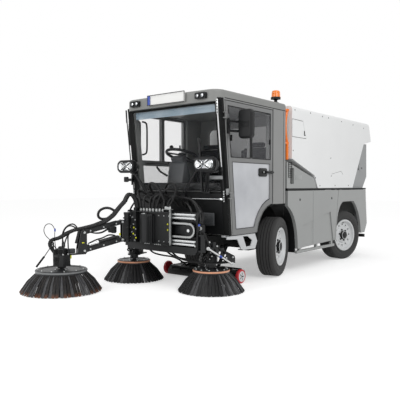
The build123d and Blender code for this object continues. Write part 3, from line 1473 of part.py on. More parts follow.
with BuildPart() as arm_head:
    # Upright at the links' outer ends, and the bracket that carries the brush motor
    for across in (-LINK_WIDTH / 2 - 12, LINK_WIDTH / 2 + 2):
        with BuildSketch(arm_plane(across)):
            with BuildLine():
                Polyline(
                    (LINK_END - 24, LINK_HIGH_Z - LINK_DROP + 24),
                    (LINK_END + 34, LINK_HIGH_Z - LINK_DROP + 24),
                    (LINK_END + 70, LINK_LOW_Z - LINK_DROP + 40),
                    (LINK_END + 70, MOTOR_TOP),
                    (LINK_END - 10, MOTOR_TOP),
                    (LINK_END - 24, LINK_LOW_Z - LINK_DROP),
                    close=True,
                )
            make_face()
        extrude(amount=10)
    for z in (LINK_LOW_Z + 18, LINK_HIGH_Z):
        with BuildSketch(arm_plane(-LINK_WIDTH / 2 - 12)):
            with Locations((LINK_END, z - LINK_DROP)):
                Circle(LINK_PIN_R)
        extrude(amount=LINK_WIDTH + 24)
    with BuildSketch(arm_plane(-LINK_WIDTH / 2 - 12)):
        with Locations((LINK_END + 62, (LINK_LOW_Z - LINK_DROP + 40 + MOTOR_TOP) / 2)):
            Rectangle(16, LINK_LOW_Z - LINK_DROP + 40 - MOTOR_TOP)
    extrude(amount=LINK_WIDTH + 24)
    with BuildSketch(arm_plane(-LINK_WIDTH / 2 - 12)):
        with Locations(((LINK_END + 30 + THIRD_REACH) / 2, MOTOR_TOP + 6)):
            Rectangle(THIRD_REACH - LINK_END - 30, 12)
    extrude(amount=LINK_WIDTH + 24)
    with BuildSketch(Plane.XY.offset(DISC_Z + DISC_THICK + 30)):
        with Locations(THIRD_BRUSH):
            RectangleRounded(150, 130, 30)
    extrude(amount=MOTOR_TOP + 12 - DISC_Z - DISC_THICK - 30)
    with BuildSketch(Plane.XY.offset(DISC_Z + DISC_THICK + 8)):
        with Locations(THIRD_BRUSH):
            Circle(SHAFT_R + 22)
    extrude(amount=24)
    with BuildSketch(Plane.XY.offset(DISC_Z - 14)):
        with Locations(THIRD_BRUSH):
            Circle(SHAFT_R)
    extrude(amount=40)


def brush(centre, disc_r, brush_r):
    """Disc brush: a plate with a clamping ring, and a flared skirt of bristles below it."""
    with BuildPart() as disc:
        with BuildSketch(Plane.XY.offset(DISC_Z)):
            with Locations(centre):
                Circle(disc_r)
                Circle(SHAFT_R + 0.08, mode=Mode.SUBTRACT)
        extrude(amount=DISC_THICK)
        with BuildSketch(Plane.XY.offset(DISC_Z - 22)):
            with Locations(centre):
                Circle(disc_r + 4)
                Circle(disc_r - 26, mode=Mode.SUBTRACT)
        extrude(amount=22)
        with BuildSketch(front_plane(centre[1])):
            with BuildLine():
                Polyline(
                    (centre[0] + disc_r - 24, DISC_Z - 22),
                    (centre[0] + disc_r + 2, DISC_Z - 22),
                    (centre[0] + brush_r, BRISTLE_FOOT),
                    (centre[0] + brush_r - 70, BRISTLE_FOOT),
                    close=True,
                )
            make_face()
        revolve(axis=Axis((centre[0], centre[1], 0), (0, 0, 1)))
    return disc.part


ARM_TAIL = (650, 282)  # rear outer end of the left brush arm
ARM_PLATE_Z = 270
TIE_ROD = ((40, 438), (324, 268))  # ends of the adjusting rod, along the arm and up
TIE_OUT = 40
TIE_R = 8


def brush_arm(side, centre):
    """Side brush arm: boss on the carrier's pin, sloping channel, motor and adjusting rod."""
    pivot = (ARM_PIVOT_X, ARM_PIVOT_Y)
    tail = ARM_TAIL
    middle = (abs(centre[0]), centre[1])
    run = Vector(tail[0] - pivot[0], tail[1] - pivot[1], 0)
    across = run.cross(Vector(0, 0, 1)).normalized()

    def along(out):
        """Plane beside the arm, out from its middle: its axes run along the arm and up."""
        return Plane(origin=Vector(*pivot, 0) + across * out, x_dir=run, z_dir=across)

    with BuildPart() as arm:
        with BuildSketch(Plane.XY.offset(ARM_LUGS[0] + FIT)):
            with Locations(pivot):
                Circle(28)
        extrude(amount=ARM_LUGS[1] - ARM_LUGS[0] - 2 * FIT)
        # Channel: a web with a flange along its top
        with BuildSketch(along(-10)):
            with BuildLine():
                Polyline(
                    (0, 530),
                    (run.length, 345),
                    (run.length + 16, 320),
                    (run.length + 16, ARM_PLATE_Z),
                    (run.length - 60, ARM_PLATE_Z),
                    (20, 438),
                    (0, 438),
                    close=True,
                )
            make_face()
            with Locations(*[(s * run.length, 474 - 170 * s) for s in (0.36, 0.54, 0.72)]):
                Circle(17, mode=Mode.SUBTRACT)
        extrude(amount=20)
        with BuildSketch(along(-24)):
            with BuildLine():
                Polyline(
                    (0, 530), (run.length, 345), (run.length, 335), (0, 520), close=True
                )
            make_face()
        extrude(amount=48)
        # Bracket plate with the motor's seat, and the motor
        with BuildSketch(Plane.XY.offset(ARM_PLATE_Z)):
            with BuildLine():
                Polyline(
                    (middle[0] + 66, middle[1] - 20),
                    tail,
                    (tail[0] - 60, tail[1] + 20),
                    (middle[0] - 50, middle[1] + 40),
                    close=True,
                )
            make_face()
            with Locations(middle):
                Circle(72)
        extrude(amount=12)
        with BuildSketch(Plane.XY.offset(DISC_Z + DISC_THICK + 12)):
            with Locations(middle):
                Circle(46)
        extrude(amount=ARM_PLATE_Z - DISC_Z - DISC_THICK - 12)
        with BuildSketch(Plane.XY.offset(ARM_PLATE_Z + 12)):
            with Locations(middle):
                RectangleRounded(92, 92, 22)
        extrude(amount=64)
        with BuildSketch(Plane.XY.offset(ARM_PLATE_Z + 76)):
            with Locations(middle):
                Circle(36)
        extrude(amount=16)
        with BuildSketch(Plane.XY.offset(DISC_Z - 14)):
            with Locations(middle):
                Circle(SHAFT_R)
        extrude(amount=60)
        # Adjusting rod beside the channel, on a pin at each end
        slope = degrees(atan2(TIE_ROD[1][1] - TIE_ROD[0][1], TIE_ROD[1][0] - TIE_ROD[0][0]))
        with BuildSketch(along(TIE_OUT - TIE_R)):
            with Locations(*TIE_ROD):
                Circle(15)
        extrude(amount=2 * TIE_R)
        with BuildSketch(along(TIE_OUT - TIE_R + 1)):
            with Locations(((TIE_ROD[0][0] + TIE_ROD[1][0]) / 2, (TIE_ROD[0][1] + TIE_ROD[1][1]) / 2)):
                Rectangle(
                    hypot(TIE_ROD[1][0] - TIE_ROD[0][0], TIE_ROD[1][1] - TIE_ROD[0][1]),
                    2 * TIE_R - 2,
                    rotation=slope,
                )
        extrude(amount=2 * TIE_R - 2)
        with BuildSketch(along(0)):
            with Locations(*TIE_ROD):
                Circle(7)
        extrude(amount=TIE_OUT)
        with BuildSketch(along(9)):
            with BuildLine():
                Polyline(
                    (TIE_ROD[0][0] - 14, 500), (TIE_ROD[0][0] + 24, 480), (TIE_ROD[0][0] + 12, 428),
                    (TIE_ROD[0][0] - 10, 428), close=True,
                )
            make_face()
        extrude(amount=8)
        with Locations((*pivot, 500)):
            Cylinder(14 + 0.08, 300, mode=Mode.SUBTRACT)
        if side < 0:
            mirror(about=Plane.YZ, mode=Mode.REPLACE)
    return arm.part


save(front_carrier.part, "front_carrier")
save(drive_chain.part, "drive_chain")
save(cross_carriage.part, "cross_carriage")
save(swing_post.part, "swing_post")
save(link(LINK_LOW_Z + 18), "arm_link_lower")
save(link(LINK_HIGH_Z), "arm_link_upper")
save(arm_head.part, "arm_head")
save(brush(THIRD_BRUSH, THIRD_DISC_R, THIRD_BRUSH_R), "brush_third")
save(brush_arm(1, LEFT_BRUSH), "brush_arm_left")
save(brush_arm(-1, RIGHT_BRUSH), "brush_arm_right")
save(brush(LEFT_BRUSH, SIDE_DISC_R, SIDE_BRUSH_R), "brush_left")
save(brush(RIGHT_BRUSH, SIDE_DISC_R, SIDE_BRUSH_R), "brush_right")

# ------------------------------------------------------------ suction nozzle
CASTER_WIDTH = 38

with BuildPart() as suction_nozzle:
    # Low hood open at the bottom, carried by two trailing arms from the chassis
    with BuildSketch(side_plane(0)):
        with BuildLine():
            Polyline(
                (NOZZLE_Y[0], 20),
                (NOZZLE_Y[0], 70),
                (NOZZLE_Y[0] + 40, NOZZLE_TOP),
                (NOZZLE_Y[1], NOZZLE_TOP),
                (NOZZLE_Y[1], 20),
                close=True,
            )
        make_face()
    extrude(amount=NOZZLE_HALF, both=True)
    with BuildSketch(side_plane(0)):
        with Locations(((NOZZLE_Y[0] + NOZZLE_Y[1]) / 2, 40)):
            Rectangle(NOZZLE_Y[1] - NOZZLE_Y[0] - 24, 80)
    extrude(amount=NOZZLE_HALF - 12, both=True, mode=Mode.SUBTRACT)
    for side in (1, -1):
        with BuildSketch(side_plane(side * 130)):
            with BuildLine():
                Polyline(
                    (NOZZLE_Y[1] - 80, NOZZLE_TOP),
                    (NOZZLE_Y[1] - 40, NOZZLE_TOP),
                    (935, RAIL_BOTTOM + 20),
                    (870, RAIL_BOTTOM + 20),
                    close=True,
                )
            make_face()
        extrude(amount=side * 20)
        # Caster fork at the end of the hood
        with BuildSketch(Plane.XY.offset(NOZZLE_TOP - 12)):
            with Locations((side * (NOZZLE_HALF - 4), CASTER[1] + 40)):
                Rectangle(52, 60)
        extrude(amount=12)
        with BuildSketch(side_plane(side * (NOZZLE_HALF + 10))):
            with BuildLine():
                Polyline(
                    (CASTER[1] - 14, CASTER_R),
                    (CASTER[1] + 30, NOZZLE_TOP),
                    (CASTER[1] + 70, NOZZLE_TOP),
                    (CASTER[1] + 60, NOZZLE_TOP - 30),
                    (CASTER[1] + 14, CASTER_R - 10),
                    close=True,
                )
            make_face()
        extrude(amount=side * 12)
        with BuildSketch(side_plane(side * (NOZZLE_HALF + 10))):
            with Locations((CASTER[1], CASTER_R)):
                Circle(16)
        extrude(amount=side * 12)
        with BuildSketch(side_plane(side * (NOZZLE_HALF + 10))):
            with Locations((CASTER[1], CASTER_R)):
                Circle(9)
        extrude(amount=side * (CASTER[0] + CASTER_WIDTH / 2 + 4 - NOZZLE_HALF - 10))

save(suction_nozzle.part, "suction_nozzle")
for name, side in (("left", 1), ("right", -1)):
    with BuildPart() as caster:
        with BuildSketch(front_plane(CASTER[1])):
            with BuildLine():
                Polyline(
                    (side * CASTER[0] - CASTER_WIDTH / 2, CASTER_R + 9.08),
                    (side * CASTER[0] - CASTER_WIDTH / 2, CASTER_R + 68),
                    (side * CASTER[0] - CASTER_WIDTH / 2 + 8, 2 * CASTER_R),
                    (side * CASTER[0] + CASTER_WIDTH / 2 - 8, 2 * CASTER_R),
                    (side * CASTER[0] + CASTER_WIDTH / 2, CASTER_R + 68),
                    (side * CASTER[0] + CASTER_WIDTH / 2, CASTER_R + 9.08),
                    close=True,
                )
            make_face()
        revolve(axis=Axis((0, CASTER[1], CASTER_R), (1, 0, 0)))
    save(caster.part, f"caster_wheel_{name}")
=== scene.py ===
"""Looks of a compact street sweeper, built around its CAD frame.

Every length in this file is in millimetres from the vehicle's own zero: X from the
centreline (+X is the vehicle's left), Y from the front of the roof (it drives towards
-Y) and Z from the ground. `done` sets them into the frame.
"""
import json
import logging
import random
from collections.abc import Iterable, Sequence
from dataclasses import dataclass
from enum import Enum
from math import atan2, cos, exp, hypot, pi, radians, sin, tau

import bpy
from mathutils import Matrix, Vector


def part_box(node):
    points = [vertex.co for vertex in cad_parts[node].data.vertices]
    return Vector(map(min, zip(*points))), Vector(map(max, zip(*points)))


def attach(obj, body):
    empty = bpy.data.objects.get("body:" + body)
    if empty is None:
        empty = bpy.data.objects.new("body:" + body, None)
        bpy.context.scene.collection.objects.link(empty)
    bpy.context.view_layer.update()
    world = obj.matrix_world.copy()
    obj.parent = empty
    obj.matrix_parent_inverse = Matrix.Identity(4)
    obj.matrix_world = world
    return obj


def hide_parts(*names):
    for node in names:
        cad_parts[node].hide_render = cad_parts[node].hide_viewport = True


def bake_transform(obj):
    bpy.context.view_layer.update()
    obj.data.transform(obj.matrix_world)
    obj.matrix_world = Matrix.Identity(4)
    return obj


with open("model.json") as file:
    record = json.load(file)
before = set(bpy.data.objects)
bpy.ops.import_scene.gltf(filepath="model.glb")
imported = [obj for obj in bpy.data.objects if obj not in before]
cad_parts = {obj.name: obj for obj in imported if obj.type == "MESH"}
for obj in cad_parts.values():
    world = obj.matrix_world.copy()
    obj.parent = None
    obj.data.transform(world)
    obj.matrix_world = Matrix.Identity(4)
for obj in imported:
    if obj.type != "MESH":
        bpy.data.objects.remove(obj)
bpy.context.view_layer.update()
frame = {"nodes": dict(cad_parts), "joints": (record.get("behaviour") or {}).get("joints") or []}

Point = tuple[float, float, float]
Flat = tuple[float, float]
Colour = tuple[float, float, float]
Line = tuple[Point, ...]
Outline = Sequence[Flat]
Piece = bpy.types.Object
Node = bpy.types.Node
Tree = bpy.types.NodeTree
Socket = bpy.types.NodeSocket

log = logging.getLogger("sweeper")
MM = 0.001
MATT_SHINE = 0.25
SIDES = ((1, "left"), (-1, "right"))


# ---- finishes
class Kind(Enum):
    """How the surface behaves in light."""

    PAINT = "paint"
    METAL = "metal"
    MATT = "matt"
    GLASS = "glass"


def linear(level: float) -> float:
    """Turn a screen level from 0 to 1 into the linear value a shader takes."""
    return level / 12.92 if level <= 0.04045 else ((level + 0.055) / 1.055) ** 2.4


def shade(hexed: str) -> Colour:
    """Turn a colour such as "8C8C8A" into linear red, green and blue.

    Args:
        hexed: six hexadecimal digits.

    Returns:
        The three linear parts.
    """
    return tuple(linear(int(hexed[i : i + 2], 16) / 255) for i in (0, 2, 4))


def tune(node: Node, **levels: float | Sequence[float]) -> Node:
    """Set inputs of a shader node.

    Args:
        node: the node.
        levels: the inputs by name, with _ for a space.

    Returns:
        The node.
    """
    for name, level in levels.items():
        node.inputs[name.replace("_", " ")].default_value = level
    return node


def add_node(tree: Tree, kind: str, **levels: float | Sequence[float]) -> Node:
    """Add a shader node with these inputs."""
    return tune(tree.nodes.new(f"ShaderNode{kind}"), **levels)


@dataclass(frozen=True)
class Finish:
    """A surface: its colour, its gloss, the patches on it and the grain in it."""

    name: str
    slot: str
    colour: str
    patch_colour: str
    roughness: float
    kind: Kind = Kind.PAINT
    patches: float = 3.0
    patch_share: float = 0.35
    grain: float = 500.0
    relief: float = 0.08
    stretch: Point = (1.0, 1.0, 1.0)
    see_through: float = 0.0
    coat: float = 0.0
    foot_colour: str = ""
    shine: float = 0.5

    def material(self) -> bpy.types.Material:
        """Make the material the first time it is asked for.

        Returns:
            The material of this finish.
        """
        if self.name in bpy.data.materials:
            return bpy.data.materials[self.name]
        made = bpy.data.materials.new(self.name)
        made.use_nodes = True
        made.diffuse_color = (*shade(self.colour), 1.0)
        tree = made.node_tree
        shader = tree.nodes["Principled BSDF"]
        place = add_node(tree, "TexCoord")
        turn = add_node(tree, "Mapping", Scale=self.stretch)
        tree.links.new(place.outputs["Object"], turn.inputs["Vector"])
        self._colour_nodes(tree, turn, shader)
        self._grain_nodes(tree, turn, shader)
        tune(
            shader, Metallic=float(self.kind is Kind.METAL), Coat_Weight=self.coat, Specular_IOR_Level=self._specular())
        if self.kind is Kind.GLASS:
            tune(shader, Alpha=1.0 - self.see_through)
        return made

    def _specular(self) -> float:
        """How much light the surface mirrors; matt ones are held low."""
        return min(self.shine, MATT_SHINE) if self.kind is Kind.MATT else self.shine

    def _colour_nodes(self, tree: Tree, turn: Node, shader: Node) -> None:
        """Lay soft patches of the second colour over the first.

        Args:
            tree: the material's nodes.
            turn: the node that gives the place.
            shader: the node they feed.
        """
        cloud = add_node(tree, "TexNoise", Scale=self.patches, Detail=5.0)
        reach = add_node(tree, "MapRange", From_Min=0.35, From_Max=0.75, To_Max=self.patch_share)
        blend = add_node(tree, "Mix")
        blend.data_type = "RGBA"
        blend.inputs["A"].default_value = (*shade(self.colour), 1.0)
        blend.inputs["B"].default_value = (*shade(self.patch_colour), 1.0)
        tree.links.new(turn.outputs["Vector"], cloud.inputs["Vector"])
        tree.links.new(cloud.outputs["Fac"], reach.inputs["Value"])
        tree.links.new(reach.outputs["Result"], blend.inputs["Factor"])
        colour = blend.outputs["Result"]
        if self.foot_colour:
            colour = self._foot_nodes(tree, colour)
        tree.links.new(colour, shader.inputs["Base Color"])

    def _foot_nodes(self, tree: Tree, colour: Socket) -> Socket:
        """Stain what is close to the ground with the foot colour.

        Args:
            tree: the node tree they go into.
            colour: the colour above the stain.

        Returns:
            The socket with the stained colour.
        """
        place = add_node(tree, "TexCoord")
        split = add_node(tree, "SeparateXYZ")
        reach = add_node(tree, "MapRange", From_Min=0.045, From_Max=0.0, To_Max=0.8)
        blend = add_node(tree, "Mix")
        blend.data_type = "RGBA"
        blend.inputs["B"].default_value = (*shade(self.foot_colour), 1.0)
        tree.links.new(place.outputs["Object"], split.inputs["Vector"])
        tree.links.new(split.outputs["Z"], reach.inputs["Value"])
        tree.links.new(reach.outputs["Result"], blend.inputs["Factor"])
        tree.links.new(colour, blend.inputs["A"])
        return blend.outputs["Result"]

    def _grain_nodes(self, tree: Tree, turn: Node, shader: Node) -> None:
        """Vary the gloss and raise the fine grain of the surface.

        Args:
            tree: the material's nodes.
            turn: the node that gives the place.
            shader: the node they feed.
        """
        rough = {"To_Min": max(0.03, self.roughness - 0.07), "To_Max": min(1.0, self.roughness + 0.07)}
        grit = add_node(tree, "TexNoise", Scale=self.grain, Detail=3.0)
        gloss = add_node(tree, "MapRange", **rough)
        bump = add_node(tree, "Bump", Strength=self.relief, Distance=0.001)
        tree.links.new(turn.outputs["Vector"], grit.inputs["Vector"])
        tree.links.new(grit.outputs["Fac"], gloss.inputs["Value"])
        tree.links.new(gloss.outputs["Result"], shader.inputs["Roughness"])
        tree.links.new(grit.outputs["Fac"], bump.inputs["Height"])
        tree.links.new(bump.outputs["Normal"], shader.inputs["Normal"])


CHASSIS_BLACK = Finish("chassis_black_paint", "frame_black", "1B1C1C", "292929", 0.45, shine=0.2)
AXLE_STEEL = Finish("axle_steel_paint", "axle_steel", "262728", "3A3A39", 0.45, shine=0.25)
RIM_SILVER = Finish("rim_silver_paint", "rim_silver", "D3D5D6", "B9BABB", 0.3, relief=0.05)
TYRE_RUBBER = Finish("tyre_rubber", "tyre_rubber", "242424", "3B3A39", 0.72, Kind.MATT, grain=900, relief=0.25)
CAB_GREY = Finish("cab_grey_paint", "body_grey", "7C7D7C", "868786", 0.36, coat=0.25)
ROOF_GREY = Finish("roof_grey_moulding", "body_grey", "80817F", "8A8A88", 0.5, grain=1200, relief=0.15)
PANEL_GREY = Finish("panel_grey_paint", "panel_grey", "909291", "989A99", 0.38, coat=0.2)
SUPPORT_GREY = Finish("support_grey_paint", "support_grey", "87898A", "8F9191", 0.4, coat=0.2)
HOPPER_WHITE = Finish("hopper_white_moulding", "hopper_white", "E9EAEA", "E1E2E2", 0.45, grain=1200, relief=0.1)
CLEAR_GLASS = Finish(
    "windscreen_glass", "cab_glazing", "9AA0A6", "A6ABB0", 0.06, Kind.GLASS, relief=0.0, see_through=0.988)
DOOR_GLASS = Finish(
    "door_tinted_glass", "cab_glazing", "8C8D92", "A3A4A8", 0.08, Kind.GLASS, relief=0.0, see_through=0.9)
# Painted reflection: an opaque pale paint with soft lighter patches for the left door's lower glass pane, standing for
# the sky mirrored in it.
DOOR_PANE_PAINTED_REFLECTION = Finish(
    "door_pane_painted_reflection", "cab_glazing", "A9ABB0", "CDCFD3", 0.15, relief=0.0, patches=1.6, patch_share=0.8, coat=0.6)
CLEAR_PANE = Finish("door_clear_pane", "cab_glazing", "D2D3D6", "DFE0E3", 0.15, Kind.GLASS, relief=0.0, see_through=0.8)
# Painted shade: the doors wear the cab's own grey paint, set darker than on the cab frame.
DOOR_GREY_SHADED = Finish("door_grey_painted_shade", "body_grey", "6B6C6C", "757675", 0.36, coat=0.25)
LAMP_BLACK = Finish("lamp_black_plastic", "lamp_plastic", "131416", "202122", 0.35, shine=0.3)
AMBER = Finish("beacon_amber_lens", "amber_lens", "F07A12", "F58E22", 0.15, coat=0.5)
TRIM_BLACK = Finish(
    "moulded_black_plastic", "black_plastic", "131415", "242526", 0.42, grain=1500, relief=0.2, shine=0.25)
PLATE_WHITE = Finish("plate_white_film", "plate_white", "ECECEA", "E0E0DE", 0.35)
SEAT_CLOTH = Finish("seat_dark_cloth", "seat_fabric", "202123", "2E2F31", 0.9, Kind.MATT, grain=1800, relief=0.5)
CHAIN_STEEL = Finish("chain_bright_steel", "chain_steel", "B9BBBB", "8C8C8A", 0.35, Kind.METAL)
ARM_BLACK = Finish("arm_dark_paint", "arm_steel", "1C1D1E", "2D2E2F", 0.33, shine=0.3)
BRISTLE = Finish("brush_disc_black", "bristle_black", "202121", "343332", 0.6, Kind.MATT)
CASTER_RED = Finish("caster_red_rubber", "caster_red", "B8222C", "CC3038", 0.5)

CHROME = Finish("bright_plated_steel", "chain_steel", "E4E6E7", "C9CBCC", 0.18, Kind.METAL, relief=0.03)
BOLT_BRIGHT = Finish("zinc_fasteners", "chain_steel", "C6C8C8", "A4A6A6", 0.32, Kind.METAL)
BOLT_DARK = Finish("dark_fasteners", "arm_steel", "3A3B3C", "55565A", 0.4, Kind.METAL)
HOSE_RUBBER = Finish("hose_rubber", "black_plastic", "0F0F10", "242424", 0.38, grain=1100, relief=0.2, shine=0.3)
SEAL_BLACK = Finish(
    "rubber_seal", "black_plastic", "121313", "222323", 0.7, Kind.MATT, grain=1500, relief=0.2, shine=0.15)
SEAM_GREY = Finish("seam_shadow_grey", "panel_grey", "6E7070", "7A7C7C", 0.7, Kind.MATT)
DISC_STEEL = Finish("brush_disc_steel", "bristle_black", "202122", "323335", 0.4, shine=0.3)
BAND_GREY = Finish("brush_band_grey", "bristle_black", "77797A", "616364", 0.5)
COPPER = Finish("brush_band_copper", "bristle_black", "D79A78", "C08463", 0.35, relief=0.05)
BRISTLE_FIBRE = Finish(
    "bristle_fibre", "bristle_black", "0D0D0E", "262627", 0.4, patches=60, patch_share=0.7, stretch=(1, 1, 0.2),
    shine=0.25)
BRISTLE_WORN = Finish(
    "bristle_fibre_worn", "bristle_black", "141313", "332F2D", 0.45, patches=60, patch_share=0.8, stretch=(1, 1, 0.2),
    foot_colour="7A4A30", shine=0.25)
BAND_BLUE = Finish("blue_plastic", "black_plastic", "2346A8", "1B3788", 0.35, coat=0.2)
GREASE_YELLOW = Finish("yellow_plastic", "black_plastic", "E2E324", "D0CC20", 0.4)
ROD_WHITE = Finish("rod_pale_steel", "arm_steel", "DCDDDD", "BFC1C2", 0.3)
LAMP_LENS = Finish("clear_lens", "lamp_plastic", "F1F3F5", "D5D9DD", 0.08, coat=0.8)
# Painted reflection: mirror metal coloured in bright glints and dark patches, for the look of a lamp's reflector.
REFLECTOR_PAINTED = Finish(
    "reflector_painted_reflection", "lamp_plastic", "D9DCDF", "3A3C3F", 0.12, Kind.METAL, patches=26, patch_share=0.9, relief=0.3,
    grain=60)
LENS_RED = Finish("red_lens", "lamp_plastic", "C0141C", "A00F16", 0.15, coat=0.6)
MIRROR_GLASS = Finish("mirror_silver", "lamp_plastic", "E8EAEC", "DDE0E3", 0.04, Kind.METAL, relief=0.0)
SUN_TINT = Finish(
    "sun_band_tint", "cab_glazing", "9DB2C1", "C4D2DC", 0.2, Kind.GLASS, relief=0.0, see_through=0.3, patches=5,
    patch_share=0.9)
# Painted highlight: a paler copy of the bristle fibre, set on some bundles for the light streaks along the brushes.
BRISTLE_PAINTED_HIGHLIGHT = Finish(
    "bristle_fibre_painted_highlight", "bristle_black", "38383A", "5C5C5E", 0.35, patches=60, patch_share=0.7, stretch=(1, 1, 0.2),
    shine=0.3)
LINING_GREY = Finish("roof_lining_grey", "body_grey", "7E8B95", "8B98A2", 0.75, Kind.MATT, grain=900, relief=0.3)
CONSOLE_GREY = Finish("console_grey_moulding", "black_plastic", "3E4042", "4B4D50", 0.5, grain=1300, relief=0.25)
STEP_SILVER = Finish("step_aluminium", "step_silver", "C4C6C8", "A9ABAD", 0.35, relief=0.1)
BOW_ORANGE = Finish("orange_paint", "guard_orange", "F07A14", "E46E0C", 0.35, coat=0.2)

CAD_FINISHES: dict[Finish, tuple[str, ...]] = {
    CHASSIS_BLACK: ("chassis_frame", "deck_frame"),
    AXLE_STEEL: ("front_axle", "rear_axle"),
    CAB_GREY: ("cab_frame",),
    ROOF_GREY: ("cab_roof",),
    CLEAR_GLASS: ("cab_glass",),
    DOOR_GLASS: ("door_glass_left", "door_glass_right"),
    # The doors take the darker copy of the cab paint, a painted shade.
    DOOR_GREY_SHADED: ("door_left", "door_right"),
    HOPPER_WHITE: ("hopper", "tailgate"),
    SUPPORT_GREY: ("hopper_supports",),
    PANEL_GREY: ("side_panels", "quarter_panels", "rear_panel", "rear_fenders"),
    TRIM_BLACK: ("front_arches", "front_bulkhead"),
    AMBER: ("beacon",),
    PLATE_WHITE: ("number_plate",),
    SEAT_CLOTH: ("seats",),
    CHAIN_STEEL: ("drive_chain",),
    LAMP_BLACK: ("lamps",),
    STEP_SILVER: ("cab_steps",),
    BOW_ORANGE: ("guard_bow",),
}
CAD_FINISH_STARTS: tuple[tuple[str, Finish], ...] = (
    ("rim_", RIM_SILVER),
    ("tyre_", TYRE_RUBBER),
    ("brush_arm", ARM_BLACK),
    ("brush_", BRISTLE),
    ("caster_", CASTER_RED),
    ("knuckle_", AXLE_STEEL),
    ("arm_", ARM_BLACK),
    ("mirror_", TRIM_BLACK),
)


def dress_cad_nodes() -> None:
    """Give every CAD node that stays in sight its finish."""
    for name, node in frame["nodes"].items():
        finish = next((f for f, names in CAD_FINISHES.items() if name in names), None)
        if finish is None:
            finish = next((f for start, f in CAD_FINISH_STARTS if name.startswith(start)), ARM_BLACK)
        for place in node.material_slots:
            place.material = finish.material()
    log.info("finishes on %d CAD nodes", len(frame["nodes"]))


def vehicle_zero() -> Vector:
    """Where the vehicle's own zero lies in the frame.

    Returns:
        The point, in metres.
    """
    low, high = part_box("number_plate")
    roof_low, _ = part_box("cab_roof")
    return Vector(((low.x + high.x) / 2, roof_low.y, 0.0))


ZERO = vehicle_zero()
NAMES: list[str] = []


# ---- studio
@dataclass
class Studio:
    """Pale floor, soft lamps and the camera."""

    eye: Point = (3713.0, -4089.2, 1060.2)
    look: Point = (-0.62400, 0.78090, -0.02863)
    lens: float = 47.498
    floor_size: float = 60.0
    sky_level: float = 0.72

    def build(self) -> None:
        """Set up the camera, the world, the lamps and the floor."""
        self._camera()
        self._world()
        self._lamp("key_lamp", (5200, -1500, 5200), (300, 1500, 900), 3.6, 160.0)
        self._lamp("front_lamp", (-1800, -6500, 3600), (0, 300, 900), 3.4, 130.0)
        self._floor()
        bpy.context.scene.view_settings.view_transform = "Standard"

    def _camera(self) -> None:
        """Stand the camera where it looks at the vehicle's front left corner."""
        lens = bpy.data.cameras.new("camera")
        lens.lens = self.lens
        lens.sensor_width = 36.0
        camera = bpy.data.objects.new("camera", lens)
        bpy.context.scene.collection.objects.link(camera)
        camera.location = Vector(self.eye) * MM + ZERO
        camera.rotation_euler = Vector(self.look).to_track_quat("-Z", "Y").to_euler()
        bpy.context.scene.camera = camera

    def _seen(self, tree: Tree) -> Socket:
        """Add nodes that give 1 for camera, glossy and transmission rays.

        Args:
            tree: the node tree they go into.

        Returns:
            The socket with the sum.
        """
        path = add_node(tree, "LightPath")
        total = path.outputs["Is Camera Ray"]
        for output in ("Is Glossy Ray", "Is Transmission Ray"):
            add = add_node(tree, "Math")
            add.operation = "ADD"
            add.use_clamp = True
            tree.links.new(total, add.inputs[0])
            tree.links.new(path.outputs[output], add.inputs[1])
            total = add.outputs[0]
        return total

    def _world(self) -> None:
        """White to the camera, and a plain sky for the light."""
        world = bpy.data.worlds.new("studio_sky")
        bpy.context.scene.world = world
        world.use_nodes = True
        tree = world.node_tree
        ground = tune(tree.nodes["Background"], Color=(1, 1, 1, 1))
        reach = add_node(tree, "MapRange", To_Min=self.sky_level, To_Max=1.0)
        tree.links.new(self._seen(tree), reach.inputs["Value"])
        tree.links.new(reach.outputs["Result"], ground.inputs["Strength"])

    def _lamp(self, name: str, place: Point, target: Point, size: float, power: float) -> None:
        """Hang one soft lamp.

        Args:
            name: what it is called.
            place: where it hangs.
            target: the point it faces.
            size: its width in metres.
            power: its power in watts.
        """
        light = bpy.data.lights.new(name, "AREA")
        light.size = size
        light.energy = power
        lamp = bpy.data.objects.new(name, light)
        bpy.context.scene.collection.objects.link(lamp)
        lamp.location = Vector(place) * MM + ZERO
        lamp.rotation_euler = (Vector(target) - Vector(place)).to_track_quat("-Z", "Y").to_euler()

    def _floor(self) -> None:
        """Lay a wide pale floor that keeps the vehicle's shadow."""
        bpy.ops.object.select_all(action="DESELECT")
        bpy.ops.mesh.primitive_plane_add(size=self.floor_size, location=(0, 0, -0.0005))
        floor = bpy.context.object
        floor.name = "floor"
        made = bpy.data.materials.new("studio_floor")
        made.use_nodes = True
        tree = made.node_tree
        shader = tune(tree.nodes["Principled BSDF"], Base_Color=(0.78, 0.78, 0.78, 1), Roughness=0.9)
        tune(shader, Specular_IOR_Level=0.0, Emission_Color=(1, 1, 1, 1))
        level = add_node(tree, "Math")
        level.operation = "MULTIPLY"
        level.inputs[1].default_value = 0.42
        tree.links.new(self._seen(tree), level.inputs[0])
        tree.links.new(level.outputs[0], shader.inputs["Emission Strength"])
        floor.data.materials.append(made)


# ---- modelling tools
def metres(point: Sequence[float]) -> Vector:
    """Turn millimetres into metres."""
    return Vector(point) * MM


def seat(at: Point, up: Point = (0, 0, 1), across: Point = (1, 0, 0)) -> Matrix:
    """Say where a piece sits.

    Args:
        at: its place in the vehicle, in millimetres.
        up: the direction that its own Z axis takes.
        across: the direction nearest to its own X axis.

    Returns:
        The placing matrix, in metres.
    """
    z = Vector(up).normalized()
    y = z.cross(Vector(across)).normalized()
    x = y.cross(z)
    turn = Matrix((x, y, z)).transposed().to_4x4()
    return Matrix.Translation(metres(at)) @ turn


def mode(name: str) -> None:
    """Enter "EDIT" or "OBJECT" mode."""
    bpy.ops.object.mode_set(mode=name)


def select_all() -> None:
    """In edit mode: select everything."""
    bpy.ops.mesh.select_all(action="SELECT")


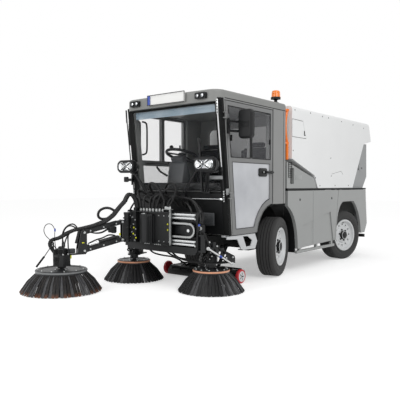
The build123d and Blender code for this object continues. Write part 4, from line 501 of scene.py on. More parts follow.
def clear() -> None:
    """Leave edit mode and deselect everything."""
    if bpy.context.object and bpy.context.object.mode != "OBJECT":
        mode("OBJECT")
    bpy.ops.object.select_all(action="DESELECT")


def pick(*pieces: Piece) -> None:
    """Select these objects only, the first one active.

    Args:
        pieces: the objects.
    """
    clear()
    for piece in pieces:
        piece.select_set(True)
    bpy.context.view_layer.objects.active = pieces[0]


def put(piece: Piece, place: Matrix | Point) -> Piece:
    """Put a piece made at the origin in its place, with the place in its mesh.

    Args:
        piece: the object.
        place: its matrix, or the point where it stands upright.

    Returns:
        The object.
    """
    if not isinstance(place, Matrix):
        place = seat(place)
    pick(piece)
    piece.matrix_world = place @ piece.matrix_world
    bpy.ops.object.transform_apply(location=True, rotation=True, scale=True)
    return piece


def soften(piece: Piece, width: float, segments: int = 2, angle: float = 35.0) -> Piece:
    """Round the sharp edges of a piece.

    Args:
        piece: the object.
        width: width of the bevel; at 0 there is none.
        segments: faces across it.
        angle: the least angle of an edge that is rounded.

    Returns:
        The piece.
    """
    if width <= 0:
        return piece
    modify(piece, "BEVEL", width=width * MM, segments=segments, limit_method="ANGLE", angle_limit=radians(angle))
    return piece


def modify(piece: Piece, kind: str, **settings: float | str) -> None:
    """Add a modifier and apply it.

    Args:
        piece: the object.
        kind: the modifier's type.
        settings: its settings.
    """
    pick(piece)
    bpy.ops.object.modifier_add(type=kind)
    modifier = piece.modifiers[-1]
    for name, value in settings.items():
        setattr(modifier, name, value)
    bpy.ops.object.modifier_apply(modifier=modifier.name)


def block(size: Point, place: Matrix | Point, soft: float = 2.0) -> Piece:
    """Make a block with rounded edges.

    Args:
        size: its three lengths.
        place: where its middle sits.
        soft: the radius of its edges.

    Returns:
        The block.
    """
    clear()
    bpy.ops.mesh.primitive_cube_add(size=1, location=(0, 0, 0))
    piece = bpy.context.object
    piece.scale = metres(size)
    put(piece, Matrix())
    soften(piece, soft)
    return put(piece, place)


def bar(start: Point, end: Point, width: float, depth: float, across: Point = (1, 0, 0), soft: float = 2.0) -> Piece:
    """Make a bar of rectangular section between two points.

    Args:
        start: middle of its first end.
        end: middle of its other end.
        width: its size along `across`.
        depth: its size the other way.
        across: the direction of its width.
        soft: the radius of its edges.

    Returns:
        The bar.
    """
    way = Vector(end) - Vector(start)
    middle = (Vector(end) + Vector(start)) / 2
    return block((width, depth, way.length), seat(middle, way, across), soft)


def rod(start: Point, end: Point, radius: float, sides: int = 20, soft: float = 0.8) -> Piece:
    """Make a round rod with chamfered ends between two points.

    Args:
        start: middle of its first end.
        end: middle of its other end.
        radius: its radius.
        sides: its faces.
        soft: its chamfer.

    Returns:
        The rod.
    """
    way = Vector(end) - Vector(start)
    clear()
    bpy.ops.mesh.primitive_cylinder_add(vertices=sides, radius=radius * MM, depth=way.length * MM)
    piece = soften(bpy.context.object, min(soft, radius / 3), 1, 50)
    return put(piece, seat((Vector(end) + Vector(start)) / 2, way, (0.3, 0.9, 0.1)))


def outline(points: Outline) -> Piece:
    """Make a flat face from a circle whose points are moved to an outline.

    Args:
        points: the outline.

    Returns:
        The face.
    """
    clear()
    bpy.ops.mesh.primitive_circle_add(vertices=len(points), radius=1, fill_type="NGON")
    piece = bpy.context.object
    for vertex, point in zip(piece.data.vertices, points):
        vertex.co = metres((*point, 0))
    return piece


def plate(points: Outline, thick: float, place: Matrix, soft: float = 1.0) -> Piece:
    """Make a plate from an outline in its own X and Y, extruded along its own Z.

    Args:
        points: the outline.
        thick: its thickness.
        place: where its zero sits.
        soft: the radius of its edges.

    Returns:
        The plate.
    """
    piece = outline(points)
    edit()
    bpy.ops.mesh.extrude_region_move(TRANSFORM_OT_translate={"value": (0, 0, thick * MM)})
    face_out()
    soften(piece, soft)
    return put(piece, place)


def lathe(profile: Outline, place: Matrix, steps: int = 48, closed: bool = False) -> Piece:
    """Spin a profile about its own Z axis.

    Args:
        profile: points as radius and height.
        place: where the axis foot sits.
        steps: faces around the axis.
        closed: whether the last point joins the first.

    Returns:
        The turned piece.
    """
    piece = open_profile(profile, closed)
    bpy.ops.mesh.spin(steps=steps, angle=tau, center=(0, 0, 0), axis=(0, 0, 1))
    close_up()
    return put(piece, place)


def open_profile(profile: Outline, closed: bool = False) -> Piece:
    """Move a circle's points to a profile of radius and height and enter edit mode.

    Args:
        profile: the points.
        closed: whether the last point joins the first.

    Returns:
        The object, all selected in edit mode.
    """
    clear()
    bpy.ops.mesh.primitive_circle_add(vertices=len(profile), radius=1)
    piece = bpy.context.object
    for vertex, (radius, height) in zip(piece.data.vertices, profile):
        vertex.co = metres((radius, 0, height))
    mode("EDIT")
    if not closed:
        last = len(profile) - 1
        bpy.ops.mesh.select_mode(type="EDGE")
        mode("OBJECT")
        for edge in piece.data.edges:
            edge.select = set(edge.vertices) == {0, last}
        mode("EDIT")
        bpy.ops.mesh.delete(type="EDGE")
        bpy.ops.mesh.select_mode(type="VERT")
    select_all()
    return piece


def frame_spot(point: Point) -> Point:
    """Turn a place in the vehicle into one in the frame, in metres."""
    return tuple(metres(point) + ZERO)


def line_length(points: Sequence[Point]) -> float:
    """How long the smooth line through control points is, in metres."""
    line = smooth_line(points)
    return sum((there - here).length for here, there in zip(line, line[1:]))


def rim(points: Outline, width: float, thick: float, place: Matrix, soft: float = 1.0) -> Piece:
    """Make a flat frame: an outline inset by its width, opened and extruded.

    Args:
        points: the outline.
        width: its width.
        thick: its thickness.
        place: where its zero sits.
        soft: the radius of its edges.

    Returns:
        The frame.
    """
    piece = outline(points)
    mode("EDIT")
    bpy.ops.mesh.select_mode(type="FACE")
    select_all()
    bpy.ops.mesh.inset(thickness=width * MM, depth=0)
    bpy.ops.mesh.delete(type="FACE")
    select_all()
    bpy.ops.mesh.extrude_region_move(TRANSFORM_OT_translate={"value": (0, 0, thick * MM)})
    bpy.ops.mesh.select_mode(type="VERT")
    face_out()
    soften(piece, soft, 1)
    return put(piece, place)


def ring(inner: float, outer: float, high: float, place: Matrix) -> Piece:
    """Turn a flat ring with chamfered outer edges.

    Args:
        inner: its inner radius.
        outer: its outer radius.
        high: its height.
        place: where its foot sits.

    Returns:
        The ring.
    """
    cut = min(0.8, high / 4)
    return lathe([
        (inner, 0), (outer - cut, 0), (outer, cut), (outer, high - cut), (outer - cut, high),
        (inner, high)], place, 36, closed=True)


def half_ring(radius: float, height: float, thick: float, place: Matrix) -> Piece:
    """Turn half a band, round the side that faces forwards.

    Args:
        radius: its inner radius.
        height: its lower edge.
        thick: its thickness.
        place: where its axis stands.

    Returns:
        The band.
    """
    piece = open_profile([
        (radius - 2, height), (radius + thick, height + 1), (radius + thick, height + 15),
        (radius - 2, height + 16)], closed=True)
    bpy.ops.mesh.spin(steps=24, angle=-pi, center=(0, 0, 0), axis=(0, 0, 1))
    close_up()
    return put(piece, place)


def close_up() -> None:
    """In edit mode: merge what meets, then point every face outwards."""
    select_all()
    bpy.ops.mesh.remove_doubles(threshold=0.00002)
    face_out()


def edit() -> None:
    """Enter edit mode with everything selected."""
    mode("EDIT")
    select_all()


def face_out() -> None:
    """Point every face outwards and leave edit mode."""
    select_all()
    bpy.ops.mesh.normals_make_consistent(inside=False)
    mode("OBJECT")


def ring_copies(piece: Piece, count: int) -> Piece:
    """Copy a piece made beside the origin around its own Z axis, in one mesh.

    Args:
        piece: the object.
        count: how many there are.

    Returns:
        The piece.
    """
    pick(piece)
    edit()
    bpy.ops.mesh.spin(steps=count, dupli=True, angle=tau, center=(0, 0, 0), axis=(0, 0, 1))
    close_up()
    return piece


def copy_of(piece: Piece) -> Piece:
    """Copy a piece with its own mesh.

    Args:
        piece: the object.

    Returns:
        The copy.
    """
    copy = piece.copy()
    copy.data = piece.data.copy()
    bpy.context.scene.collection.objects.link(copy)
    return copy


def copies(piece: Piece, places: Iterable[Matrix]) -> Piece:
    """Copy a piece made at the origin to each place; the first goes away.

    Args:
        piece: the object.
        places: where the copies sit.

    Returns:
        The copies as one object.
    """
    made = []
    for place in places:
        made.append(copy_of(piece))
        made[-1].data.transform(place)
    bpy.data.objects.remove(piece, do_unlink=True)
    return join(made)


def mirrored(piece: Piece) -> Piece:
    """Copy a piece to the other side of the centreline, right side out.

    Args:
        piece: the object.

    Returns:
        The copy.
    """
    other = copy_of(piece)
    other.data.transform(Matrix.Scale(-1, 4, (1, 0, 0)))
    pick(other)
    edit()
    bpy.ops.mesh.flip_normals()
    mode("OBJECT")
    return other


def join(pieces: Sequence[Piece]) -> Piece:
    """Join pieces into the first one.

    Args:
        pieces: the objects.

    Returns:
        The joined object.
    """
    pick(*pieces)
    if len(pieces) > 1:
        bpy.ops.object.join()
    return bpy.context.object


def hose(points: Sequence[Point], radius: float, ribs: float = 0.0) -> Piece:
    """Lay a round hose along a smooth line through its control points.

    Args:
        points: control points of the line.
        radius: its outer radius.
        ribs: pitch of its corrugations, or 0 for a plain hose.

    Returns:
        The hose as a mesh with closed ends.
    """
    clear()
    piece = make_curve(points, 6)
    piece.data.bevel_depth = radius * MM
    piece.data.bevel_resolution = 2
    piece.data.use_fill_caps = True
    pick(piece)
    bpy.ops.object.convert(target="MESH")
    piece = bpy.context.object
    if ribs:
        corrugate(piece, points, radius, ribs)
    return piece


def make_curve(points: Sequence[Point], steps: int) -> Piece:
    """Make a smooth open curve.

    Args:
        points: its control points.
        steps: how finely it is divided.

    Returns:
        The curve, linked to the scene.
    """
    curve = bpy.data.curves.new("line", "CURVE")
    curve.dimensions = "3D"
    spline = curve.splines.new("NURBS")
    spline.points.add(len(points) - 1)
    for control, point in zip(spline.points, points):
        control.co = (*metres(point), 1)
    spline.order_u = 3
    spline.use_endpoint_u = True
    curve.resolution_u = steps
    holder = bpy.data.objects.new("line", curve)
    bpy.context.scene.collection.objects.link(holder)
    return holder


def corrugate(piece: Piece, points: Sequence[Point], radius: float, pitch: float) -> None:
    """Add rings along a hose.

    Args:
        piece: the hose.
        points: control points of its line.
        radius: its outer radius.
        pitch: distance from band to band.
    """
    line = smooth_line(points)
    band = lathe([
        (radius, -pitch * 0.3), (radius + 2, -pitch * 0.12), (radius + 2, pitch * 0.12),
        (radius, pitch * 0.3)], Matrix(), 12)
    places, gone = [], 0.0
    for here, there in zip(line, line[1:]):
        gone += (there - here).length / MM
        if gone >= pitch:
            gone = 0.0
            places.append(seat(here / MM, there - here, (0.31, 0.87, 0.4)))
    rings = copies(band, places)
    join([piece, rings])


def smooth_line(points: Sequence[Point]) -> list[Vector]:
    """Read the smooth line through control points.

    Args:
        points: the control points.

    Returns:
        Points along the line, in metres.
    """
    holder = make_curve(points, 24)
    bpy.context.view_layer.update()
    read = bpy.data.meshes.new_from_object(holder)
    line = [v.co.copy() for v in read.vertices]
    bpy.data.meshes.remove(read)
    bpy.data.objects.remove(holder, do_unlink=True)
    return line


def bolt(across: float) -> Piece:
    """Make a hexagon bolt head on a washer, standing on the origin along Z.

    Args:
        across: its width across flats.

    Returns:
        The bolt head.
    """
    half = across / 2
    washer = lathe([(0, 0), (half * 1.25, 0), (half * 1.25, across * 0.14), (0, across * 0.14)], Matrix(), 14)
    clear()
    bpy.ops.mesh.primitive_cylinder_add(
        vertices=6, radius=half * 1.08 * MM, depth=across * 0.6 * MM, location=(0, 0, across * 0.42 * MM)
    )
    head = soften(bpy.context.object, across * 0.07, 1)
    pick(head)
    bpy.ops.object.transform_apply(location=True, rotation=True, scale=True)
    return join([washer, head])


def bolts(across: float, places: Iterable[Matrix]) -> Piece:
    """Set bolts of one size in their places."""
    return copies(bolt(across), places)


def sided(made: Piece | list[Piece], name: str, finish: Finish, side: str, body: str | None = "chassis",
          smooth: float = 35.0) -> Piece:
    """Finish what was made for the left side, or its mirror image for the right.

    Args:
        made: the object, or the objects to join.
        name: what it is called, without its side.
        finish: its surface.
        side: "left" or "right".
        body: the CAD body it rides on, or None for a piece that rides on no body.
        smooth: the largest angle between faces that still looks round.

    Returns:
        The piece.
    """
    piece = join(made) if isinstance(made, list) else made
    if side == "right":
        other = mirrored(piece)
        bpy.data.objects.remove(piece, do_unlink=True)
        piece = other
    return done(piece, f"{name}_{side}", finish, body, smooth)


def done(made: Piece | list[Piece], name: str, finish: Finish, body: str | None = "chassis",
         smooth: float = 35.0) -> Piece:
    """Name, dress and hang a finished piece.

    Args:
        made: the object, or the objects to join.
        name: what it is called.
        finish: its surface.
        body: the CAD body it rides on, or None for a piece that rides on no body.
        smooth: the largest angle between faces that still looks round.

    Returns:
        The piece.
    """
    piece = join(made) if isinstance(made, list) else made
    piece.data.transform(Matrix.Translation(ZERO))
    piece.name = piece.data.name = name
    piece.data.materials.clear()
    piece.data.materials.append(finish.material())
    pick(piece)
    bpy.ops.object.shade_smooth_by_angle(angle=radians(smooth))
    if body:
        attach(piece, body)
    NAMES.append(name)
    log.info("%s: %d faces on %s", name, len(piece.data.polygons), body)
    return piece


# ---- wheels
@dataclass
class RoadWheel:
    """Tyre with its tread, and what sits on the rim."""

    end: str
    side: str
    radius: float = 343.0
    width: float = 215.0
    bead_radius: float = 226.0
    blocks: int = 64
    groove_depth: float = 8.0
    grooves: tuple[float, ...] = (-50.0, -18.0, 18.0, 50.0)
    sipe_depth: float = 5.0
    disc_face: float = 62.0
    nose: float = 58.0
    bolt_circle: float = 79.0

    @property
    def tail(self) -> str:
        """What the names of this wheel's pieces end in."""
        return f"{self.end}_{self.side}"

    def build(self) -> None:
        """Build the tyre and the hub, and replace the CAD tyre."""
        place = self._place()
        self._tyre(place)
        self._hub(place)

    def _place(self) -> Matrix:
        """Where the wheel's centre sits, its Z axis pointing outwards.

        Returns:
            The place.
        """
        low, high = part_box(f"tyre_{self.tail}")
        joint = next(j for j in frame["joints"] if j["name"] == f"wheel_{self.tail}_spin")
        outward = Vector(joint["axis"]) * (1 if self.side == "left" else -1)
        return seat(((low + high) / 2 - ZERO) / MM, outward, (0, 0, 1))

    def _profile(self) -> list[Flat]:
        """Section of the tyre: beads, walls with a rim guard, shoulders and five ribs.

        Returns:
            Points as radius and height.
        """
        half, top, dip = self.width / 2, self.radius, self.groove_depth
        side_wall = [
            (self.bead_radius, -half + 16), (self.bead_radius + 5, -half + 7), (self.bead_radius + 14, -half + 4),
            (self.bead_radius + 18, -half + 1), (self.bead_radius + 24, -half + 1), (self.bead_radius + 28, -half + 4),
            (top - 66, -half + 1), (top - 60, -half), (top - 54, -half + 1.5), (top - 28, -half + 5),
            (top - 12, -half + 11), (top - 3, -half + 22),
        ]
        crown: list[Flat] = [(top, -half + 30)]
        for middle in self.grooves:
            crown += [(top, middle - 5), (top - dip, middle - 3), (top - dip, middle + 3), (top, middle + 5)]
        crown.append((top, half - 30))
        return side_wall + crown + [(r, -h) for r, h in reversed(side_wall)]

    def _tyre(self, place: Matrix) -> None:
        """Turn one block of the tyre, cut its sipe and copy it around.

        Args:
            place: where the wheel sits.
        """
        step = tau / self.blocks
        piece = open_profile(self._profile(), closed=True)
        bpy.ops.mesh.spin(steps=4, angle=step, center=(0, 0, 0), axis=(0, 0, 1))
        bpy.ops.mesh.select_all(action="DESELECT")
        mode("OBJECT")
        self._sipe(piece, step)
        ring_copies(piece, self.blocks)
        name, body = f"tyre_{self.tail}", f"wheel_{self.tail}"
        done(put(piece, place), f"{name}_tread", TYRE_RUBBER, body, 28)
        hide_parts(name)
        # Dark rings at the foot of each groove are painted shade in the grooves.
        foot = self.radius - self.groove_depth
        groove_shades = [
            lathe([
                (foot - 2, -3.4), (foot + 0.8, -3.4), (foot + 0.8, 3.4),
                (foot - 2, 3.4)], lifted(middle), 96, closed=True) for middle in self.grooves]
        done(put(join(groove_shades), place), f"{name}_groove_painted_shade", SEAL_BLACK, body)

    def _sipe(self, piece: Piece, step: float) -> None:
        """Sink the shoulder faces at the start of the block into a groove across the tread.

        Args:
            piece: the block.
            step: the angle it takes up.
        """
        for face in piece.data.polygons:
            middle = face.center / MM
            outer = hypot(middle.x, middle.y) > self.radius - 26
            face.select = outer and abs(middle.z) > 56 and atan2(middle.y, middle.x) % tau < step / 4
        mode("EDIT")
        bpy.ops.mesh.select_mode(type="FACE")
        bpy.ops.mesh.extrude_region_move(TRANSFORM_OT_translate={"value": (0, 0, 0)})
        bpy.ops.mesh.select_mode(type="VERT")
        mode("OBJECT")
        for vertex in piece.data.vertices:
            if vertex.select:
                flat = Vector((vertex.co.x, vertex.co.y, 0))
                vertex.co -= flat.normalized() * self.sipe_depth * MM

    def _hub(self, place: Matrix) -> None:
        """Black hub cap with its ring, six wheel bolts and the valve.

        Args:
            place: where the wheel sits.
        """
        face, nose = self.disc_face, self.nose
        body, tail = f"wheel_{self.tail}", self.tail
        cap = lathe([
            (0, 104), (18, 104), (22, 101), (42, 101), (50, 98.6), (nose + 1, 92), (nose + 1, face + 3),
            (nose + 3, face + 0.5), (nose - 2, face + 0.5), (nose - 2, 88), (0, 88)], Matrix(), 36)
        done(put(cap, place), f"hub_cap_{tail}", TRIM_BLACK, body)
        turns = [i * tau / 6 + 0.3 for i in range(6)]
        spots = [seat((self.bolt_circle * cos(a), self.bolt_circle * sin(a), face)) for a in turns]
        done(put(bolts(20, spots), place), f"wheel_bolts_{tail}", BOLT_DARK, body)
        valve = rod((182, 0, 56), (170, 0, 82), 4, 10)
        done(put(valve, place), f"valve_{tail}", TRIM_BLACK, body)
        lip = lathe([(214, 94), (221, 97), (221.5, 98.2), (219, 98.4), (212, 95)], Matrix(), 64, closed=True)
        done(put(lip, place), f"rim_lip_{tail}", BOLT_BRIGHT, body)


# ---- brushes
@dataclass
class DiscBrush:
    """Disc brush: steel disc, clamping ring and bundles of bristles."""

    node: str
    centre: Flat
    disc_radius: float
    foot_radius: float
    bundles: int
    ring: Finish
    disc_top: float = 221.0
    disc_under: float = 183.0
    foot: float = 4.0

    def build(self) -> None:
        """Build the disc, its ring and its bristles, and replace the CAD brush."""
        top, out = self.disc_top, self.disc_radius
        place = seat((*self.centre, 0))
        disc = lathe(
            [(20.3, top - 14), (20.3, top - 1), (50, top), (54, top - 4), (out - 46, top - 6), (out - 40, top),
             (out - 4, top), (out + 2, top - 4), (out + 2, self.disc_under), (out - 24, self.disc_under),
             (out - 28, top - 22), (24, top - 22)], place, 64, closed=True)
        done(disc, f"{self.node}_disc", DISC_STEEL, self.node)
        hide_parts(self.node)
        band = lathe([
            (out + 1, top - 23), (out + 6, top - 22), (out + 7, top - 9), (out + 5, top - 6),
            (out + 1, top - 6)], place, 72, closed=True)
        done(band, f"{self.node}_ring", self.ring, self.node)
        spots = [
            (out - 20, top - 0.5, i * tau / 12) for i in range(12)] + [(70, top - 6, i * tau / 4) for i in range(4)]
        heads = [place @ seat((r * cos(a), r * sin(a), z)) for r, z, a in spots]
        done(bolts(13, heads), f"{self.node}_bolts", BOLT_BRIGHT, self.node)
        self._bristles(place)

    def _strand(self) -> Piece:
        """One four-sided bristle, to be bent to its line.

        Returns:
            The bristle.
        """
        clear()
        bpy.ops.mesh.primitive_circle_add(vertices=4, radius=1)
        piece = bpy.context.object
        mode("EDIT")
        for _ in range(2):
            bpy.ops.mesh.extrude_region_move(TRANSFORM_OT_translate={"value": (0, 0, -1)})
        face_out()
        return piece

    def _bristles(self, place: Matrix) -> None:
        """Set bundles of strands on the circle of each row: dark ones, and pale ones that are a painted highlight.

        Args:
            place: where the brush stands.
        """
        rng = random.Random(self.node)
        out, drop = self.disc_radius, self.disc_under + 8 - self.foot
        rows = (
            (out - 3, self.foot_radius, 15), (out - 10, self.foot_radius - 26, 12),
            (out - 18, self.foot_radius - 58, 8))
        dark, pale = [], []
        for row, (root, reach, strands) in enumerate(rows):
            bundle = self._bundle(rng, root, reach, strands, drop)
            turns = [(i + row / 3) * tau / self.bundles + rng.uniform(-0.012, 0.012) for i in range(self.bundles)]
            places = [
                Matrix.Rotation(turn, 4, "Z") @ Matrix.Diagonal((rng.uniform(0.975, 1.0), rng.choice((-1, 1)), 1, 1))
                for turn in turns
            ]
            # About four bundles in ten take the pale fibre, a painted highlight.
            some = [place for place in places if rng.random() < 0.38]
            spare = copy_of(bundle)
            dark.append(copies(bundle, [place for place in places if place not in some]))
            pale.append(copies(spare, some))
        worn = self.ring is BAND_GREY
        for made, tail, finish in (
            (dark, "bristles", BRISTLE_WORN if worn else BRISTLE_FIBRE), (pale, "bristles_painted_highlight", BRISTLE_PAINTED_HIGHLIGHT)):
            piece = join(made)
            mode("EDIT")
            face_out()
            done(put(piece, place), f"{self.node}_{tail}", finish, self.node)

    def _bundle(self, rng: random.Random, root: float, reach: float, strands: int, drop: float) -> Piece:
        """Fan strands from one clamp point.

        Args:
            rng: the source of their scatter.
            root: radius of the clamp point.
            reach: radius at the ground.
            strands: how many there are.
            drop: height from clamp to ground.

        Returns:
            The bundle.
        """
        top = self.disc_under + 8
        spread = tau / self.bundles
        made = []
        for i in range(strands):
            share = (i + 0.5) / strands - 0.5
            piece = self._strand()
            tip_turn = share * spread * 0.7 + rng.uniform(-0.006, 0.006)
            root_turn = share * spread * 0.4
            tip = reach - abs(rng.gauss(0, 6))
            mid = root + (tip - root) * 0.54
            line = [
                (root, root_turn, top), (mid, (root_turn + tip_turn) / 2, top - drop * rng.uniform(0.42, 0.46)),
                (tip, tip_turn, self.foot + abs(rng.gauss(0, 2))),
            ]
            thick = rng.uniform(1.6, 2.2)
            for index, vertex in enumerate(piece.data.vertices):
                radius, turn, height = line[index // 4]
                corner = (index % 4) * pi / 2
                wide = thick * (1.0 + 0.55 * (index // 4))
                vertex.co = metres((
                    (radius + thick * cos(corner)) * cos(turn) - wide * sin(corner) * sin(turn),
                    (radius + thick * cos(corner)) * sin(turn) + wide * sin(corner) * cos(turn),
                    height,
                ))
            made.append(piece)
        return join(made)


# ---- cab
def wall(x: float) -> Matrix:
    """The plane of a left side wall: its X runs back along the vehicle and its Y up."""
    return seat((x, 0, 0), (1, 0, 0), (0, 1, 0))


def flank(s: int, y: float, z: float, x: float = 650.0) -> Matrix:
    """A place on the left (1) or right (-1) side that faces outwards."""
    return seat((s * x, y, z), (s, 0, 0), (0, 1, 0))


def lifted(height: float) -> Matrix:
    """A move straight up."""
    return Matrix.Translation((0, 0, height * MM))


def ahead(x: float, y: float, z: float) -> Matrix:
    """A place that faces forwards."""
    return seat((x, y, z), (0, -1, 0))


@dataclass
class CabTrim:
    """Seals, frames, handles, hinges and straps on the cab."""

    face: float = 650.0
    pillar_foot: Flat = (214.0, 550.0)
    pillar_knee: Flat = (174.0, 975.0)
    pillar_head: Flat = (69.0, 1913.0)
    front_pane: tuple[Flat, ...] = ((239, 1336), (596, 1336), (596, 1850), (183, 1850))
    rear_pane: tuple[Flat, ...] = ((622, 1336), (1001, 1336), (1001, 1850), (622, 1850))
    lower_pane: tuple[Flat, ...] = (
        (261, 1293), (329, 608), (664, 608), (706, 700), (755, 770), (834, 840), (909, 881), (984, 905), (984, 1293),
    )

    def build(self) -> None:
        """Build both sides, then the front."""
        for side in ("left", "right"):
            self._door(side)
            self._straps(side)
        self._front()
        self._roof()

    def _door(self, side: str) -> None:
        """Seals round the panes, the window's latches, the lower pane, the handle and its lock.

        Args:
            side: "left" or "right".
        """
        body, face = f"door_{side}", self.face
        seals = [rim(pane, 7, 3, wall(face + 0.4), 0.8) for pane in (self.front_pane, self.rear_pane)]
        seals.append(rim(self.lower_pane, 5, 2.4, wall(face + 0.3), 0.8))
        sided(seals, "door_seals", SEAL_BLACK, side, body)
        latches = [block((20, 13, 62), (face + 8, 236, 1530), 4), block((20, 14, 54), (face + 8, 975, 1532), 4),
                   bar((face + 5, 609, 1345), (face + 5, 609, 1836), 8, 11, soft=1.5)]
        sided(latches, "window_latches", TRIM_BLACK, side, body)
        # The left lower pane is opaque, its pale colour a painted reflection; the right one is clear glass.
        pane = plate(self.lower_pane, 1.2, wall(face - 2.2), 0.3)
        sided(pane, "lower_pane", DOOR_PANE_PAINTED_REFLECTION if side == "left" else CLEAR_PANE, side, body)
        handle = [
            plate([
                (770, 1150), (905, 1150), (925, 1165), (925, 1228), (905, 1243), (770, 1243), (752, 1228),
                (752, 1165)], 7, wall(face + 0.3), 3), block((26, 148, 24), (face + 22, 955, 1200), 8),
            block((20, 28, 40), (face + 12, 880, 1198), 5), rod((face + 4, 838, 1199), (face + 17, 838, 1199), 15, 24),
            block((18, 20, 34), (face + 11, 1018, 1200), 5)]
        sided(handle, "door_handle", TRIM_BLACK, side, body)
        lock = lathe([(0, 3), (7, 3), (9, 1.5), (9, 0), (0, 0)], seat((face + 17, 838, 1199), (1, 0, 0), (0, 1, 0)), 24)
        sided(lock, "door_lock", BOLT_BRIGHT, side, body)

    def _straps(self, side: str) -> None:
        """Rod, drilled straps and edges of a front pillar, and the seams of the cab's side.

        Args:
            side: "left" or "right".
        """
        x = 632.0
        upright = rod((x, 40, 1755), (x, 108, 1214), 6)
        # The left rod is pale and its twin on the right black: partly a real pale rod, partly a painted highlight along
        # the left pillar's edge.
        sided(upright, "pillar_rod", ROD_WHITE if side == "left" else TRIM_BLACK, side)
        foot = [rod((x, 112, 1220), (x, 138, 1013), 6), block((20, 24, 40), (x, 106, 1216), 5)]
        sided(foot, "pillar_rod_foot", TRIM_BLACK, side)
        sheet = block((5, 46, 62), seat((653, 178, 992), (0, -0.134, 1)), 1.5)
        sided(sheet, "door_hinge_plate", SUPPORT_GREY, side)
        for low, high in (((151, 886), (146, 1004)), ((40, 1752), (29, 1893))):
            run = hypot(high[0] - low[0], high[1] - low[1])
            middle = (x, (low[0] + high[0]) / 2 - 3, (low[1] + high[1]) / 2)
            place = seat(middle, (0, -(high[1] - low[1]), high[0] - low[0]))
            hole = lathe([(0, 1.4), (6, 1.4), (7, 0), (0, 0)], Matrix(), 16)
            holes = copies(hole, [Matrix.Translation(metres((0, run * (k / 5 - 0.4), 2))) for k in range(5)])
            level = "foot" if low[1] < 1000 else "head"
            sided(put(holes, place), f"strap_{level}_holes", TRIM_BLACK if level == "head" else BOLT_BRIGHT, side)
            strap = put(block((22, run, 4), Matrix(), 1), place)
            sided(strap, f"strap_{level}", BOLT_BRIGHT if level == "head" and side == "left" else BOLT_DARK, side)
        edge = [bar((self.face + 0.9, y0 + 21, z0), (self.face + 0.9, y1 + 21, z1), 3, 40, soft=1)
                for (y0, z0), (y1, z1) in ((self.pillar_foot, self.pillar_knee), (self.pillar_knee, self.pillar_head))]
        sided(edge, "pillar_edge", SEAL_BLACK, side)
        seams = [
            bar((self.face + 0.8, 1052, 860), (self.face + 0.8, 1052, 1905), 3, 9, soft=0.5),
            bar((self.face + 0.5, 1292, 700), (self.face + 0.5, 1292, 1905), 2, 5, soft=0.5),
        ]
        sided(seams, "cab_side_seams", SEAL_BLACK, side)

    def _front(self) -> None:
        """Black faces of the front pillars, sill and head, the handle bar, the vent and the cross rod."""
        made = []
        for side in (1, -1):
            x = side * 612
            for (y0, z0), (y1, z1) in ((self.pillar_foot, self.pillar_knee), (self.pillar_knee, self.pillar_head)):
                made.append(bar((x, y0 - 2.6, z0 + 4), (x, y1 - 2.6, z1), 76, 4, soft=1.2))
        made.append(bar((-585, 169, 978), (585, 169, 978), 6, 26, (0, 1, 0), 1.5))
        made.append(bar((-585, 71, 1874), (585, 71, 1874), 5, 30, (0, 1, 0), 1.5))
        done(made, "windscreen_frame", SEAL_BLACK)
        done(block((200, 26, 36), (536, 118, 1133), 5), "front_handle_bar", SUPPORT_GREY)
        vent = [block((176, 10, 130), (420, 152, 712), 4), block((90, 40, 60), (300, 140, 600), 8)]
        vent += [bar((345, 146, z), (495, 146, z), 5, 7, (0, 1, 0), 2) for z in range(664, 768, 16)]
        done(vent, "bulkhead_vent", CONSOLE_GREY)
        bars = [rod((160, 126, 918), (622, 126, 918), 5), block((30, 40, 20), (610, 138, 918), 3)]
        done(bars, "front_cross_rod", CHROME)

    def _roof(self) -> None:
        """Seams along the roof, the lining under it, the sun band and the folded visors."""
        seam = [bar((s * 650.6, 132, 1917), (s * 650.6, 1326, 1917), 2.6, 7, soft=0.6) for s in (1, -1)]
        done(seam, "roof_seam", SEAL_BLACK)
        lining = block((1160, 1130, 8), (0, 705, 1908), 3)
        ribs = [block((1080, 14, 10), (0, y, 1901), 4) for y in (330, 620, 910)]
        done([lining, *ribs], "roof_lining", LINING_GREY)
        band = block((1120, 4, 92), seat((0, 108, 1832), (0, -0.112, 1)), 1.5)
        done(band, "sun_band", SUN_TINT)
        folded = [block((430, 130, 14), seat((x, 200, 1872), (0, 0.2, 1)), 6) for x in (-270, 270)]
        done(folded, "sun_visors", CONSOLE_GREY)


